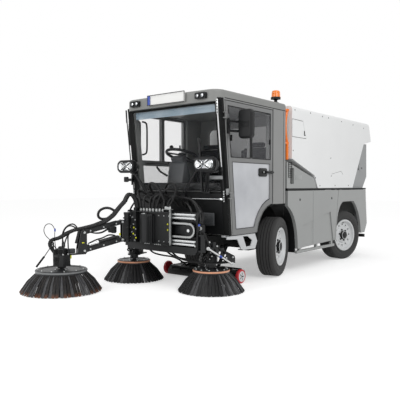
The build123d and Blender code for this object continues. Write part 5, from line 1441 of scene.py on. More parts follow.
@dataclass
class Lamps:
    """Headlamps, work lights, mirrors, beacon, plate and rear lamps."""

    head: Point = (549.0, -60.0, 1262.0)
    work: Point = (456.0, -22.0, 1940.0)
    work_pitch: float = 31.0
    rear: Point = (546.0, 3839.0, 757.0)
    rear_up: Point = (0.0, -0.124, 0.992)
    rear_out: Point = (0.0, 0.992, 0.124)

    def build(self) -> None:
        """Build the lamps of both sides and the mirrors."""
        self._headlamps()
        self._work_lights()
        self._mirrors()
        self._beacon_and_plate()
        self._rear()

    def _headlamps(self) -> None:
        """Headlamps with their arms, the cab's grab handle and the bracket of the side lamp."""
        x, y, z = self.head
        edge = [
            (128, 0), (122, 38), (96, 58), (0, 60), (-96, 58), (-122, 38), (-128, 0), (-122, -38), (-96, -58), (0, -60),
            (96, -58), (122, -38)]
        lens = plate(edge, 9, ahead(x, y + 1, z), 4)
        frame_bars = [rim(edge, 19, 15, ahead(x, y + 1, z), 3)]
        for sx in (-1, 1):
            for rise in (46, -46):
                start, end = (x - 8 + sx * 4, y - 12, z), (x - 8 + sx * 84, y - 12, z + rise)
                frame_bars.append(bar(start, end, 13, 12, (0, 1, 0), 2))
        bowls = [
            lathe([(0, 0), (22, 2), (40, 9), (44, 12), (46, 9), (40, 4), (0, -1)], ahead(x + dx, y - 9, z), 32)
            for dx in (-62, 52)]
        # The headlamp lens carries the painted reflection finish.
        for name, piece, finish in (
            ("headlamp_lens", lens, REFLECTOR_PAINTED), ("headlamp_frame", join(frame_bars), LAMP_BLACK),
            ("headlamp_bowls", join(bowls), CHROME)):
            other = mirrored(piece)
            done(piece, f"{name}_left", finish)
            done(other, f"{name}_right", finish)
        grip = hose([
            (-592, 236, 1782), (-566, 270, 1778), (-560, 283, 1740), (-560, 283, 1600), (-560, 283, 1450),
            (-566, 270, 1412), (-592, 236, 1406)], 10)
        done(grip, "cab_grab_handle", TRIM_BLACK, smooth=40)
        bracket = [
            block((130, 46, 30), (-660, 96, 1118), 6), block((46, 40, 60), (-704, 92, 1122), 8),
            rod((-632, 120, 1060), (-632, 120, 1180), 14)]
        done(bracket, "side_lamp_bracket", TRIM_BLACK)
        for sx, side in SIDES:
            arm = [
                rod((sx * 512, 34, 1196), (sx * 410, 130, 986), 11), rod((sx * 530, 40, 1200), (sx * 440, 130, 986), 9),
                block((70, 40, 26), (sx * 524, 34, 1196), 5), block((90, 30, 24), (sx * 425, 136, 982), 4)]
            done(arm, f"headlamp_arm_{side}", TRIM_BLACK)

    def _work_lights(self) -> None:
        """Rims of the twin work lights in the roof's front, and lenses whose dark patches and bright glints are a
        painted reflection.
        """
        x, y, z = self.work
        for sx, side in SIDES:
            rims = [ring(19, 25, 5, ahead(sx * x + dx, y, z)) for dx in (-self.work_pitch, self.work_pitch)]
            done(rims, f"work_light_rims_{side}", LAMP_BLACK)
            eyes = [
                lathe([(0, 4), (12, 3), (19, 0), (19, -1), (0, -1)], ahead(sx * x + dx, y - 0.5, z), 24)
                for dx in (-self.work_pitch, self.work_pitch)]
            done(eyes, f"work_light_lenses_{side}", REFLECTOR_PAINTED)

    def _mirrors(self) -> None:
        """Mirror glass, its bezel with ribs on the back, and the pivots of the arm."""
        pane = [(58, -118), (58, 118), (40, 132), (-40, 132), (-58, 118), (-58, -118), (-40, -132), (40, -132)]
        for sx, side in SIDES:
            place = seat((sx * 788, 328.2, 1668), (0, 1, 0), (-1, 0, 0))
            done(plate(pane, 3, place, 1), f"mirror_pane_{side}", MIRROR_GLASS, f"door_{side}")
            bezel = [rim([(x * 1.2, y * 1.06) for x, y in pane], 10, 6, place, 2)]
            bezel += [rod((sx * 662, 181, z - 16), (sx * 662, 181, z + 16), 15) for z in (1596, 1691)]
            bezel += [block((104, 4, 5), (sx * 788, 269, z), 1) for z in (1640, 1652, 1664, 1676, 1688)]
            done(bezel, f"mirror_bezel_{side}", TRIM_BLACK, f"door_{side}")

    def _beacon_and_plate(self) -> None:
        """Foot and cap ring of the beacon, and the plate's rim and blue end band."""
        x, y, z = 560, 1262, 2000
        foot = [
            lathe([
                (17, 10), (40.5, 10), (41, 0), (44, 0), (44, 9), (30, 16), (20, 22), (18, 40), (34, 50), (57, 51),
                (57.5, 73), (53, 76), (17, 74)], seat((x, y, z)), 40, closed=True),
            lathe([(20, 120), (46.6, 112), (48, 118), (40, 148), (20, 153)], seat((x, y, z)), 40, closed=True)]
        done(foot[0], "beacon_foot", TRIM_BLACK)
        done(foot[1], "beacon_cap_ring", AMBER)
        bezel = rim([(-260, -55), (260, -55), (260, 55), (-260, 55)], 6, 6, ahead(0, -17.5, 1955), 2)
        done(bezel, "plate_frame", TRIM_BLACK)
        band = plate([(-252, -47), (-218, -47), (-218, 47), (-252, 47)], 1, ahead(0, -22, 1955), 0.3)
        done(band, "plate_end_band", BAND_BLUE)

    def _rear(self) -> None:
        """Red, amber and clear lenses on the rear lamp clusters."""
        x, y, z = self.rear
        up, out = Vector(self.rear_up), Vector(self.rear_out)
        lean = (0, 385, 48)
        for sx, side in SIDES:
            for name, dz, tall, finish in (
                ("stop", 48, 64, LENS_RED), ("turn", -10, 44, AMBER), ("reverse", -52, 32, LAMP_LENS)):
                middle = Vector((sx * x, y, z)) + up * dz + out * 14
                lens = block((78, tall - 6, 9), seat(middle, lean, (-1, 0, 0)), 4)
                ribs = [block((76, 3, 3), seat(middle + up * k + out * 5, lean, (-1, 0, 0)), 1)
                        for k in range(10 - tall // 2, tall // 2 - 6, 9)]
                done([lens, *ribs], f"rear_{name}_lens_{side}", finish)


# ---- front
@dataclass
class FrontCarriage:
    """Bright guide rods, fasteners, guard plate, valve block and the hoses over the carriage."""

    rod_heights: tuple[float, ...] = (463, 498, 727, 762)
    rod_y: float = -78.0
    wall_y: float = -108.0
    upright_y: float = -152.0
    rail_middles: Flat = (480.5, 744.5)
    pulley: Point = (372.0, -94.0, 607.0)
    sliding_hoses: tuple[Line, ...] = (
        (
            (-200, 120, 860), (-230, 60, 940), (-210, -60, 1050), (-130, -96, 1086), (-30, -110, 1050), (40, -110, 950),
            (64, -90, 880), (30, -90, 815)),
        (
            (-20, 118, 862), (-34, 40, 930), (0, -30, 1050), (96, -40, 1092), (190, -50, 1040), (160, -80, 900),
            (118, -96, 836)),
        ((120, 120, 850), (140, 50, 950), (130, -20, 1020), (50, -70, 1020), (-30, -95, 920), (-60, -90, 815)),
        ((60, 120, 840), (70, 60, 900), (20, -30, 960), (-60, -80, 960), (-106, -95, 890), (-110, -90, 815)),
        ((-60, 122, 835), (-70, 60, 900), (-100, -30, 958), (-150, -84, 930), (-156, -92, 870), (-155, -90, 815)),
        ((-120, 122, 850), (-130, 50, 910), (-190, -30, 960), (-240, -84, 940), (-246, -92, 870), (-245, -90, 815)),
        ((-300, 124, 840), (-320, 60, 950), (-380, -40, 1010), (-330, -88, 960), (-292, -92, 860), (-290, -90, 815)),
        ((200, 120, 840), (190, 60, 890), (170, -10, 950), (140, -70, 930), (104, -96, 890), (102, -96, 836)))
    fixed_hoses: tuple[Line, ...] = (
        ((230, 118, 850), (250, 60, 900), (290, 20, 940), (360, -10, 900), (420, -16, 830), (430, -14, 770)),
        (
            (280, 118, 840), (300, 60, 880), (350, 10, 905), (420, -12, 860), (472, -26, 800), (490, -54, 730),
            (506, -62, 700)),
        ((170, 118, 830), (200, 60, 870), (250, 20, 890), (310, -10, 860), (350, -16, 800), (352, -14, 760)),
        ((330, 118, 830), (350, 70, 850), (420, 10, 850), (480, -20, 800), (520, -40, 730), (520, -66, 690)),
        ((-350, 120, 850), (-370, 40, 900), (-420, -20, 900), (-480, -50, 820), (-512, -62, 720), (-512, -64, 690)),
        (
            (-481, -14, 931), (-300, -12, 936), (-100, -14, 934), (120, -12, 936), (300, -14, 930), (400, -14, 890),
            (440, -14, 820), (446, -14, 770)))

    def build(self) -> None:
        """Build what is fixed to the carrier, then what slides, then the hoses."""
        self._rods()
        self._chain()
        self._carriage()
        self._drum()
        self._valve_block()
        self._hoses()

    def _rods(self) -> None:
        """Bright skins of the guide rods, their clamps and the strips behind them."""
        rods = [rod((-477, self.rod_y, z), (477, self.rod_y, z), 13.5, 24) for z in self.rod_heights]
        done(rods, "guide_rods", CHROME)
        clamps = [block((24, 26, 72), (s * 465, -84, z), 4) for s in (1, -1) for z in self.rail_middles]
        done(clamps, "rod_clamps", ARM_BLACK)
        spots = [ahead(s * 464, -97, z) for s in (1, -1) for z in (458, 503, 722, 767)]
        done(bolts(13, spots), "clamp_bolts", BOLT_BRIGHT)
        strips = [block((930, 5, 9), (0, -46.5, z), 1.5) for z in self.rail_middles]
        done(strips, "rod_backing_strips", BOLT_BRIGHT)

    def _chain(self) -> None:
        """Hubs and discs of the pulleys inside the drive chain, and the plate behind it."""
        x, y, z = self.pulley
        hubs = [
            lathe([(0, 5), (5, 5), (6, 4), (9, 4), (10, 5), (14, 5), (16, 3), (16, 0), (0, 0)], ahead(s * x, y, z), 32)
            for s in (1, -1)]
        done(hubs, "chain_hubs", CHROME)
        discs = [
            lathe([(10, 1), (16, 2), (52, 2), (56, 1), (56, -6), (10, -6)], ahead(s * x, y, z), 48, closed=True)
            for s in (1, -1)]
        done(discs, "chain_pulley_rims", TRIM_BLACK)
        sheet = plate([
            (160, 563), (372, 563), (404, 576), (416, 607), (404, 638), (372, 651), (160, 651)], 3, ahead(0, -48, 0), 1)
        done(sheet, "chain_backing", ARM_BLACK)

    def _carriage(self) -> None:
        """Pale guard plate, bolts on the upright and along the foot, hose fittings on top."""
        body = "cross_carriage"
        guard = [block((6, 26, 364), (148, -113, 629), 1.2), block((92, 62, 5.5), (105, -95, 811), 1.5)]
        done(guard, "guard_plate_skin", PANEL_GREY, body)
        upright = [(-337, 643), (-304, 593), (-362, 560), (-314, 528), (-318, 474), (-352, 716), (-312, 690)]
        done(bolts(14, [ahead(x, self.upright_y, z) for x, z in upright]), "upright_bolts", BOLT_BRIGHT, body)
        caps = [
            lathe([(0, 7), (6, 6.5), (8.5, 3), (8.5, 0), (0, 0)], ahead(x, y, z), 16)
            for x, y, z in (
                (-332, -152, 607), (-340, -152, 541), (112, -108, 660), (112, -108, 602), (-300, -152, 500))]
        done(caps, "grease_caps", GREASE_YELLOW, body)
        foot = [ahead(x, -148.3, 451) for x in (-170, -140, -112, -30, -4, 22, 48)]
        foot += [
            ahead(x, self.wall_y, z) for x, z in ((-12, 744), (-12, 480), (130, 744), (130, 480), (60, 480), (60, 744))]
        done(bolts(10, foot), "carriage_bolts", BOLT_BRIGHT, body)
        fittings = [
            lathe([
                (0, 26), (6, 26), (7, 20), (7, 15), (10, 15), (10, 6), (7, 5), (7, 0), (0, 0)], seat((x, -96, 814)), 6)
            for x in (70, 86, 102, 118, 134)]
        fittings += [
            lathe([(0, 30), (9, 30), (9, 22), (13, 20), (13, 6), (9, 5), (9, 0), (0, 0)], seat((x, -90, 785)), 6)
            for x in (-290, -245, -200, -155, -110, -60, -15, 30)]
        done(fittings, "hose_fittings", BOLT_BRIGHT, body)
        rail = [bar((-370, -62, 795), (140, -62, 795), 26, 20, (0, 1, 0), 3), block((40, 56, 34), (-340, -104, 804), 5),
                block((64, 40, 26), (-60, -70, 814), 5), block((36, 30, 40), (40, -66, 822), 5)]
        done(rail, "carriage_manifold", TRIM_BLACK, body)

    def _drum(self) -> None:
        """Bands, cap and ribs of the drum housing."""
        body = "cross_carriage"
        place = seat((-210, -108, 456))
        parts = [half_ring(59.5, h, 5, place) for h in (8, 290)] + [
            half_ring(58.8, h, 2.5, place) for h in (60, 150, 240)]
        done(parts, "drum_bands", LAMP_BLACK, body)
        top = lathe([
            (0, 14), (10, 14), (14, 10), (30, 10), (33, 4), (50, 4), (53, 0), (0, 0)], seat((-210, -100, 757)), 32)
        done(top, "drum_cap", BOLT_BRIGHT, body)
        ribs = [bar((x, -143, 470), (x, -143, 740), 5, 6, soft=1.5) for x in (-140, -110, -80, -50)]
        done(ribs, "drum_box_ribs", TRIM_BLACK, body)

    def _valve_block(self) -> None:
        """Valve block with a blue cap at the carrier's left end, and one at the right."""
        for s, side in SIDES:
            parts = [
                block((52, 60, 76), (s * 519, -70, 636), 5), rod((s * 540, -100, 640), (s * 540, -142, 640), 21, 24),
                rod((s * 513, -100, 615), (s * 513, -124, 615), 10), block((40, 34, 26), (s * 512, -64, 690), 4)]
            done(parts, f"valve_block_{side}", TRIM_BLACK)
            caps = lathe([(0, 8), (9, 8), (12, 5), (12, 0), (0, 0)], seat((s * 526, -112, 668), (0, -1, 0.2)), 20)
            done(caps, f"valve_cap_{side}", BAND_BLUE)
            rings = [ring(15, 22, 6, ahead(s * 540, -130 + k, 640)) for k in (0, 14)]
            done(rings, f"valve_rings_{side}", BOLT_BRIGHT)

    def _hoses(self) -> None:
        """Arched hoses from the bulkhead to the carriage and to the carrier."""
        for number, line in enumerate(self.sliding_hoses):
            piece = hose(line, 11 if number % 3 else 13, 0 if number % 2 else 16)
            done(piece, f"carriage_hose_{number + 1}", HOSE_RUBBER, None, 40)
            frame_spot((0, 100, 0))
            frame_spot((0, -92, 0))
            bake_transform(piece)
        for number, line in enumerate(self.fixed_hoses):
            done(hose(line, 10 + number % 2 * 2, 0), f"carrier_hose_{number + 1}", HOSE_RUBBER, smooth=40)


@dataclass
class ThirdArm:
    """What rides on the third arm: hoses, motor, fasteners and the loose cable."""

    root: Flat = (-432.0, -165.0)
    azimuth: float = 19.0
    first_pin: float = 62.0
    link: float = 420.0
    slope: float = -92.0
    brush: float = 712.0
    cable: Line = (
        (760, -34, 366), (782, -34, 440), (790, -34, 560), (784, -36, 620), (820, -34, 680), (872, -26, 676),
        (896, -20, 618), (874, -22, 560), (836, -26, 524), (800, -14, 480), (770, -6, 430), (752, -4, 380))
    head_hoses: tuple[Line, ...] = (
        ((545, -14, 612), (575, -20, 668), (640, -24, 664), (700, -26, 610), (712, -20, 520), (692, -24, 470)),
        ((545, 14, 612), (590, 20, 650), (650, 24, 640), (690, 26, 570), (692, 24, 470)),
        ((560, 0, 608), (600, 8, 600), (640, 10, 560), (642, 2, 470), (640, 0, 408)),
        ((600, -14, 600), (660, -40, 560), (700, -62, 480), (712, -66, 400), (716, -60, 372)),
    )

    def spot(self, run: float, across: float, height: float) -> Point:
        """Turn a place along, across and above the arm into the vehicle's.

        Args:
            run: distance out from the swing pin.
            across: distance to the right of the arm.
            height: height above the ground.

        Returns:
            The point in millimetres.
        """
        turn = radians(self.azimuth)
        return (
            self.root[0] - run * sin(turn) - across * cos(turn), self.root[1] - run * cos(turn) + across * sin(turn),
            height)

    def path(self, *places: Point) -> list[Point]:
        """Turn places along, across and above the arm into the vehicle's."""
        return [self.spot(*place) for place in places]

    def way(self, run: float, across: float, up: float) -> Point:
        """Turn a direction along, across and up into the vehicle's."""
        start, end = self.spot(0, 0, 0), self.spot(run, across, up)
        return tuple(b - a for a, b in zip(start, end))

    def stand(self, run: float, across: float, height: float) -> Matrix:
        """An upright place, square to the arm."""
        return seat(self.spot(run, across, height), (0, 0, 1), self.way(1, 0, 0))

    def build(self) -> None:
        """Build the post's, the links' and the head's pieces."""
        self._post()
        self._links()
        self._head()
        self._bundle()
        self._cable()

    def _pins(self, run: float, height: float, name: str, body: str) -> None:
        """Bright heads on both ends of a pin.

        Args:
            run: distance out from the swing pin.
            height: its height.
            name: what they are called.
            body: the body they ride on.
        """
        spots = [seat(self.spot(run, s * 34.5, height), self.way(0, s, 0), (0, 0, 1)) for s in (1, -1)]
        done(bolts(20, spots), name, BOLT_BRIGHT, body)

    def _post(self) -> None:
        """Pins, collars and yellow mark of the swing post."""
        self._pins(self.first_pin, 480, "lower_pins", "swing_post")
        self._pins(self.first_pin, 667, "upper_pins", "swing_post")
        collar = [ring(30.3, 38, 14, seat((*self.root, z))) for z in (500, 600, 700)]
        done(collar, "swing_collars", ARM_BLACK, "swing_post")
        tie = block((16, 9, 26), seat(self.spot(96, -40, 540), self.way(0, 0, 1), self.way(1, 0, 0)), 2)
        done(tie, "post_marker", GREASE_YELLOW, "swing_post")

    def _links(self) -> None:
        """Cover strips and bolts on both links, the relief cylinder and the valve block."""
        slope = self.slope
        for name, height in (("lower", 480), ("upper", 667)):
            body = f"arm_link_{name}"
            a, b = self.spot(110, -23.5, height + slope * 0.114), self.spot(434, -23.5, height + slope * 0.886)
            strip = [bar(a, b, 5, 24, self.way(0, 1, 0), 1.5)]
            a, b = self.spot(120, 0, height + 26 + slope * 0.138), self.spot(424, 0, height + 26 + slope * 0.862)
            strip.append(bar(a, b, 30, 6, self.way(0, 1, 0), 1.5))
            done(strip, f"link_{name}_strips", ARM_BLACK, body)
            if name == "lower":
                self._cylinder(height)
            else:
                self._valves()
            heads = [
                seat(
                    self.spot(self.first_pin + self.link * k, -26.4, height + slope * k), self.way(0, -1, 0), (0, 0, 1))
                for k in (0.16, 0.5, 0.84)]
            done(bolts(13, heads), f"link_{name}_bolts", BOLT_BRIGHT, body)

    def _cylinder(self, height: float) -> None:
        """Relief cylinder that lies on the lower link, with its bright rod.

        Args:
            height: height of the link's first pin.
        """
        body, rise, slope = "arm_link_lower", 44, self.slope
        places = [
            self.spot(self.first_pin + self.link * k, 0, height + rise + slope * k)
            for k in (0.1, 0.14, 0.56, 0.6, 0.88)]
        barrel = [
            rod(places[1], places[2], 17, 28, 3), rod(places[2], places[3], 19, 28, 2),
            rod(places[0], places[1], 12, 20)]
        for k in (0.1, 0.9):
            barrel.append(
                block((40, 30, 46), self.stand(self.first_pin + self.link * k, 0, height + 28 + slope * k), 5))
        done(barrel, "relief_cylinder", ARM_BLACK, body)
        done(rod(places[3], places[4], 8, 20), "relief_rod", CHROME, body)
        line = self.path((120, 30, 520), (180, 34, 540), (260, 34, 500), (340, 32, 488), (420, 32, 450))
        done(hose(line, 8), "lower_link_hose", HOSE_RUBBER, body, 40)

    def _valves(self) -> None:
        """Valve block under the upper link, with its two short hoses."""
        body = "arm_link_upper"
        parts = [block((84, 46, 62), seat(self.spot(164, 0, 590), (0, 0, 1), self.way(1, 0, -0.22)), 6),
                 block((40, 56, 30), seat(self.spot(150, 0, 566), (0, 0, 1), self.way(1, 0, -0.22)), 4),
                 rod(self.spot(206, 0, 596), self.spot(226, 0, 592), 13, 24)]
        done(parts, "link_valve_block", TRIM_BLACK, body)
        for number, across in enumerate((-12, 14)):
            line = self.path(
                (224, across, 592), (262, across, 566), (330, across * 1.6, 556), (392, across * 1.8, 566),
                (432, across * 1.8, 578))
            done(hose(line, 6.5), f"link_valve_hose_{number + 1}", HOSE_RUBBER, body, 40)

    def _head(self) -> None:
        """Finned motor with its ports and bolts, the head's brackets, yellow marks and hoses."""
        body = "arm_head"
        centre = self.spot(self.brush, 0, 0)
        place = seat((centre[0], centre[1], 0))
        self._pins(self.first_pin + self.link, 388, "head_lower_pins", body)
        self._pins(self.first_pin + self.link, 575, "head_upper_pins", body)
        motor = lathe([
            (0, 446), (22, 446), (30, 440), (34, 428), (56, 424), (60, 418), (60, 372), (64, 366), (0, 366)], place, 32)
        done(motor, "motor_body", ARM_BLACK, body)
        fins = [ring(58, 67, 4, place @ lifted(376 + k * 9)) for k in range(5)]
        fins += [ring(70, 78, 5, place @ lifted(262 + k * 14)) for k in range(6)]
        done(fins, "motor_fins", TRIM_BLACK, body)
        spots = [seat((centre[0] + 76 * cos(a), centre[1] + 64 * sin(a), 364.2)) for a in (0.5, 2.6, 3.7, 5.8)]
        done(bolts(16, spots), "motor_bolts", BOLT_BRIGHT, body)
        ports = [rod(self.spot(690, s * 24, 440), self.spot(690, s * 24, 474), 11, 6) for s in (1, -1)]
        ports += [
            rod(self.spot(640, 0, 366), self.spot(640, 0, 410), 14, 20),
            block((60, 44, 46), self.stand(600, 10, 392), 6)]
        done(ports, "motor_ports", BOLT_DARK, body)
        marks = [block((24, 8, 11), self.stand(497, -36.5, 471), 2),
                 block((11, 8, 34), self.stand(627, -43, 337), 2)]
        done(marks, "head_markers", GREASE_YELLOW, body)
        bracket = [bar(self.spot(540, -40, 600), self.spot(575, -40, 470), 26, 6, self.way(1, 0, 0), 2),
                   block((70, 60, 10), self.stand(545, 0, 604), 3),
                   rod(self.spot(545, -26, 606), self.spot(545, 26, 606), 16, 20),
                   bar(self.spot(800, -30, 300), self.spot(800, -30, 478), 22, 8, self.way(0, 1, 0), 2),
                   bar(self.spot(740, -30, 369), self.spot(806, -30, 369), 22, 8, self.way(0, 1, 0), 2)]
        done(bracket, "head_brackets", ARM_BLACK, body)
        for number, line in enumerate(self.head_hoses):
            done(hose(self.path(*line), 7), f"head_hose_{number + 1}", HOSE_RUBBER, body, 40)

    def _bundle(self) -> None:
        """Two corrugated hose bundles from the carriage along the upper link, and on to the head."""
        for number, (across, radius) in enumerate(((-14, 18), (20, 15))):
            lift = 8 * number
            start = (-330 - 24 * number, -96, 815)
            first = (
                start, (start[0] - 10, -100, 900), self.spot(-60, across, 962), self.spot(-12, across, 955 + lift),
                self.spot(20, across, 880 + lift))
            second = self.path(
                (20, across, 880 + lift), (62, across, 846), (108, across, 790 + lift), (150, across, 740 + lift))
            along = self.path(
                (150, across, 740 + lift), (215, across, 690 + lift), (282, across, 662 + lift), (390, across, 634),
                (470, across, 622))
            last = self.path((470, across, 622), (540, across, 612), (610, across, 596), (673, across, 562 + lift))
            end = self.path(
                (673, across, 562 + lift), (740, across, 528), (812, across, 520), (836, across, 470),
                (800, across, 410), (772, across, 372))
            for tail, line, bodies, a, b in (
                ("a", first, ("cross_carriage", "swing_post"), start, self.spot(20, across, 880)),
                (
                    "b", second, ("swing_post", "arm_link_upper"), self.spot(20, across, 880),
                    self.spot(150, across, 740))):
                piece = done(hose(line, radius, 14), f"arm_bundle_{number + 1}{tail}", HOSE_RUBBER, None, 40)
                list(bodies)
                frame_spot(a)
                frame_spot(b)
                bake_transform(piece)
            done(hose(along, radius, 14), f"arm_bundle_{number + 1}c", HOSE_RUBBER, "arm_link_upper", 40)
            done(
                hose([*last, *end[1:]], radius - 4 * number, 14), f"arm_bundle_{number + 1}d", HOSE_RUBBER, "arm_head",
                40)
        loop = self.path(
            (150, 34, 720), (230, 62, 690), (296, 72, 716), (290, 70, 784), (220, 60, 822), (140, 44, 806),
            (100, 34, 760))
        done(hose(loop, 13, 13), "arm_hose_loop", HOSE_RUBBER, "arm_link_upper", 40)

    def _cable(self) -> None:
        """Looped cable with a blue band, and the stick with a black grip below it."""
        line = self.path(*self.cable)
        cable = hose(line, 3.5)
        done(cable, "loop_cable", HOSE_RUBBER, "arm_head", 40)
        band = rod(self.spot(785, -34.6, 600), self.spot(786, -35.6, 630), 8, 16)
        done(band, "cable_band", BAND_BLUE, "arm_head")
        points = [tuple(p + ZERO) for p in smooth_line(line)]
        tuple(points[0])
        line_length(line)
        stick = [
            rod(self.spot(800, -30, 486), self.spot(900, -34, 348), 4.5, 12),
            block((14, 16, 26), seat(self.spot(802, -30, 482)), 4)]
        done(stick, "marker_stick", BOLT_DARK, "arm_head")
        grip = rod(self.spot(892, -34, 360), self.spot(972, -36, 262), 10, 16, 3)
        done(grip, "stick_grip", TRIM_BLACK, "arm_head")


@dataclass
class SideBrushArm:
    """What rides on a side brush arm: adjusting rod, bolts, motor cap and hoses."""

    side: str
    centre: Flat
    pivot: Flat = (525.0, -58.0)
    tail: Flat = (650.0, 282.0)

    def spot(self, run: float, out: float, height: float) -> Point:
        """Turn a place on the left arm into the vehicle's.

        Args:
            run: distance along the arm.
            out: distance outwards from it.
            height: height above the ground.

        Returns:
            The point in millimetres.
        """
        length = hypot(self.tail[0] - self.pivot[0], self.tail[1] - self.pivot[1])
        ux, uy = (self.tail[0] - self.pivot[0]) / length, (self.tail[1] - self.pivot[1]) / length
        return (self.pivot[0] + run * ux + out * uy, self.pivot[1] + run * uy - out * ux, height)

    def _keep(self, made: Piece | list[Piece], name: str, finish: Finish) -> Piece:
        """Finish a piece of this side's arm."""
        return sided(made, name, finish, self.side, f"brush_arm_{self.side}")

    def build(self) -> None:
        """Build the pieces of one arm."""
        spot = self.spot
        x, y = abs(self.centre[0]), self.centre[1]
        out = tuple(b - a for a, b in zip(spot(0, 0, 0), spot(0, 1, 0)))
        rods = [rod(spot(40, 40, 438), spot(324, 40, 268), 9, 20)]
        for end in (spot(324, 40, 268), spot(40, 40, 438)):
            rods.append(lathe([(8, 9), (16, 9), (16.5, -9), (8, -9)], seat(end, out, (0, 0, 1)), 24, closed=True))
        self._keep(rods, "adjusting_rod", ROD_WHITE)
        self._keep(rod(spot(170, 40, 360.2), spot(198, 40, 343.4), 12, 20), "rod_band", BAND_BLUE)
        nuts = [seat(spot(run, 49, z), out, (0, 0, 1)) for run, z in ((40, 438), (324, 268))]
        nuts += [seat(spot(run, 24.3, z), out, (0, 0, 1)) for run, z in ((60, 500), (150, 456), (340, 333), (260, 330))]
        nuts += [seat((x + dx, y + dy, 346)) for dx in (-36, 36) for dy in (-36, 36)]
        self._keep(bolts(15, nuts), "arm_bolts", BOLT_BRIGHT)
        cap = lathe([
            (0, 376), (16, 376), (20, 372), (36.5, 366), (38, 360), (38, 352), (48, 350), (48, 346),
            (0, 346)], seat((x, y, 0)), 32)
        self._keep(cap, "motor_cap", TRIM_BLACK)
        fins = [
            rim([(-49, -49), (49, -49), (49, 49), (-49, 49)], 6, 4, seat((x, y, 288 + 11 * k)), 1.5) for k in range(5)]
        self._keep(fins, "motor_fins", TRIM_BLACK)
        ports = [
            rod((x - 30, y - 44, 322), (x - 30, y - 66, 322), 9, 6),
            rod((x + 20, y - 44, 322), (x + 20, y - 66, 322), 9, 6), rod((x, y, 374), (x, y, 396), 10, 20)]
        self._keep(ports, "motor_ports", BOLT_BRIGHT)
        box = [
            block((50, 46, 56), seat(spot(110, 6, 470)), 5), block((34, 60, 22), seat(spot(215, 0, 420)), 4),
            rod(spot(250, -30, 380), spot(250, 30, 380), 12, 20)]
        self._keep(box, "arm_brackets", TRIM_BLACK)
        for number, dx in enumerate((-30, 20)):
            line = (
                (x + dx, y - 64, 322), (x + dx, y - 100, 330), spot(80 + 20 * number, 34 - 60 * number, 420),
                spot(30, 36 - 60 * number, 520), spot(-4, 26 - 40 * number, 600), (516 - 8 * number, -64, 640))
            tube = sided(hose(line, 8), f"brush_hose_{number + 1}", HOSE_RUBBER, self.side, None, 40)
            sign = 1 if self.side == "left" else -1
            frame_spot((sign * 510, -60, 600))
            frame_spot((sign * 530, -30, 480))
            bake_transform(tube)


@dataclass
class SuctionGear:
    """Rubber skirts, bolts and tube of the suction nozzle, and the caster hubs."""

    caster: Point = (522.0, 600.0, 76.0)
    hoses: tuple[Line, ...] = (
        ((-100, 40, 400), (-60, 80, 330), (0, 200, 270), (60, 400, 230), (100, 560, 130)),
        ((-40, 60, 400), (20, 110, 300), (90, 230, 240), (160, 420, 220), (190, 560, 130)),
        ((-300, 20, 400), (-300, 60, 330), (-260, 200, 280), (-220, 420, 240), (-200, 566, 130)),
    )

    def build(self) -> None:
        """Build the nozzle's pieces and the casters'."""
        skirts = [block((940, 8, 56), (0, 540, 40), 2), block((940, 8, 56), (0, 765, 40), 2)]
        skirts += [block((8, 200, 56), (s * 475, 652, 40), 2) for s in (1, -1)]
        done(skirts, "nozzle_skirts", HOSE_RUBBER)
        ribs = [
            plate([(545, 72), (585, 114), (760, 114), (760, 124), (582, 124), (541, 82)], 6, wall(x), 1)
            for x in (-420, -300, -180, -60, 60, 180, 300, 414)]
        ribs += [rod((-440, 566, 106), (440, 566, 106), 12), rod((-440, 740, 128), (440, 740, 128), 10)]
        done(ribs, "nozzle_ribs", LAMP_BLACK)
        tube = hose([(0, 660, 108), (0, 665, 190), (0, 720, 280), (0, 800, 360), (0, 830, 430)], 84, 26)
        done(tube, "suction_tube", HOSE_RUBBER, smooth=40)
        places = [ahead(x, 552, 58) for x in range(-440, 441, 80)]
        done(bolts(11, places), "nozzle_bolts", BOLT_BRIGHT)
        for s, side in SIDES:
            x, y, z = self.caster
            place = flank(s, y, z, x)
            hub = lathe([
                (9.4, 20), (16, 21), (20, 19.6), (44, 20), (50, 22), (56, 21), (57, 18), (50, 16),
                (9.4, 15)], place, 36, closed=True)
            done(hub, f"caster_hub_{side}", RIM_SILVER, f"caster_{side}")
            ribs = [
                bar(
                    (s * (x + 20.5), y + 16 * cos(a), z + 16 * sin(a)),
                    (s * (x + 19.5), y + 42 * cos(a), z + 42 * sin(a)), 3, 7, soft=1)
                for a in (k * tau / 5 for k in range(5))]
            done(ribs, f"caster_ribs_{side}", LAMP_BLACK, f"caster_{side}")
        for number, line in enumerate(self.hoses):
            done(hose(line, 9), f"nozzle_hose_{number + 1}", HOSE_RUBBER, smooth=40)


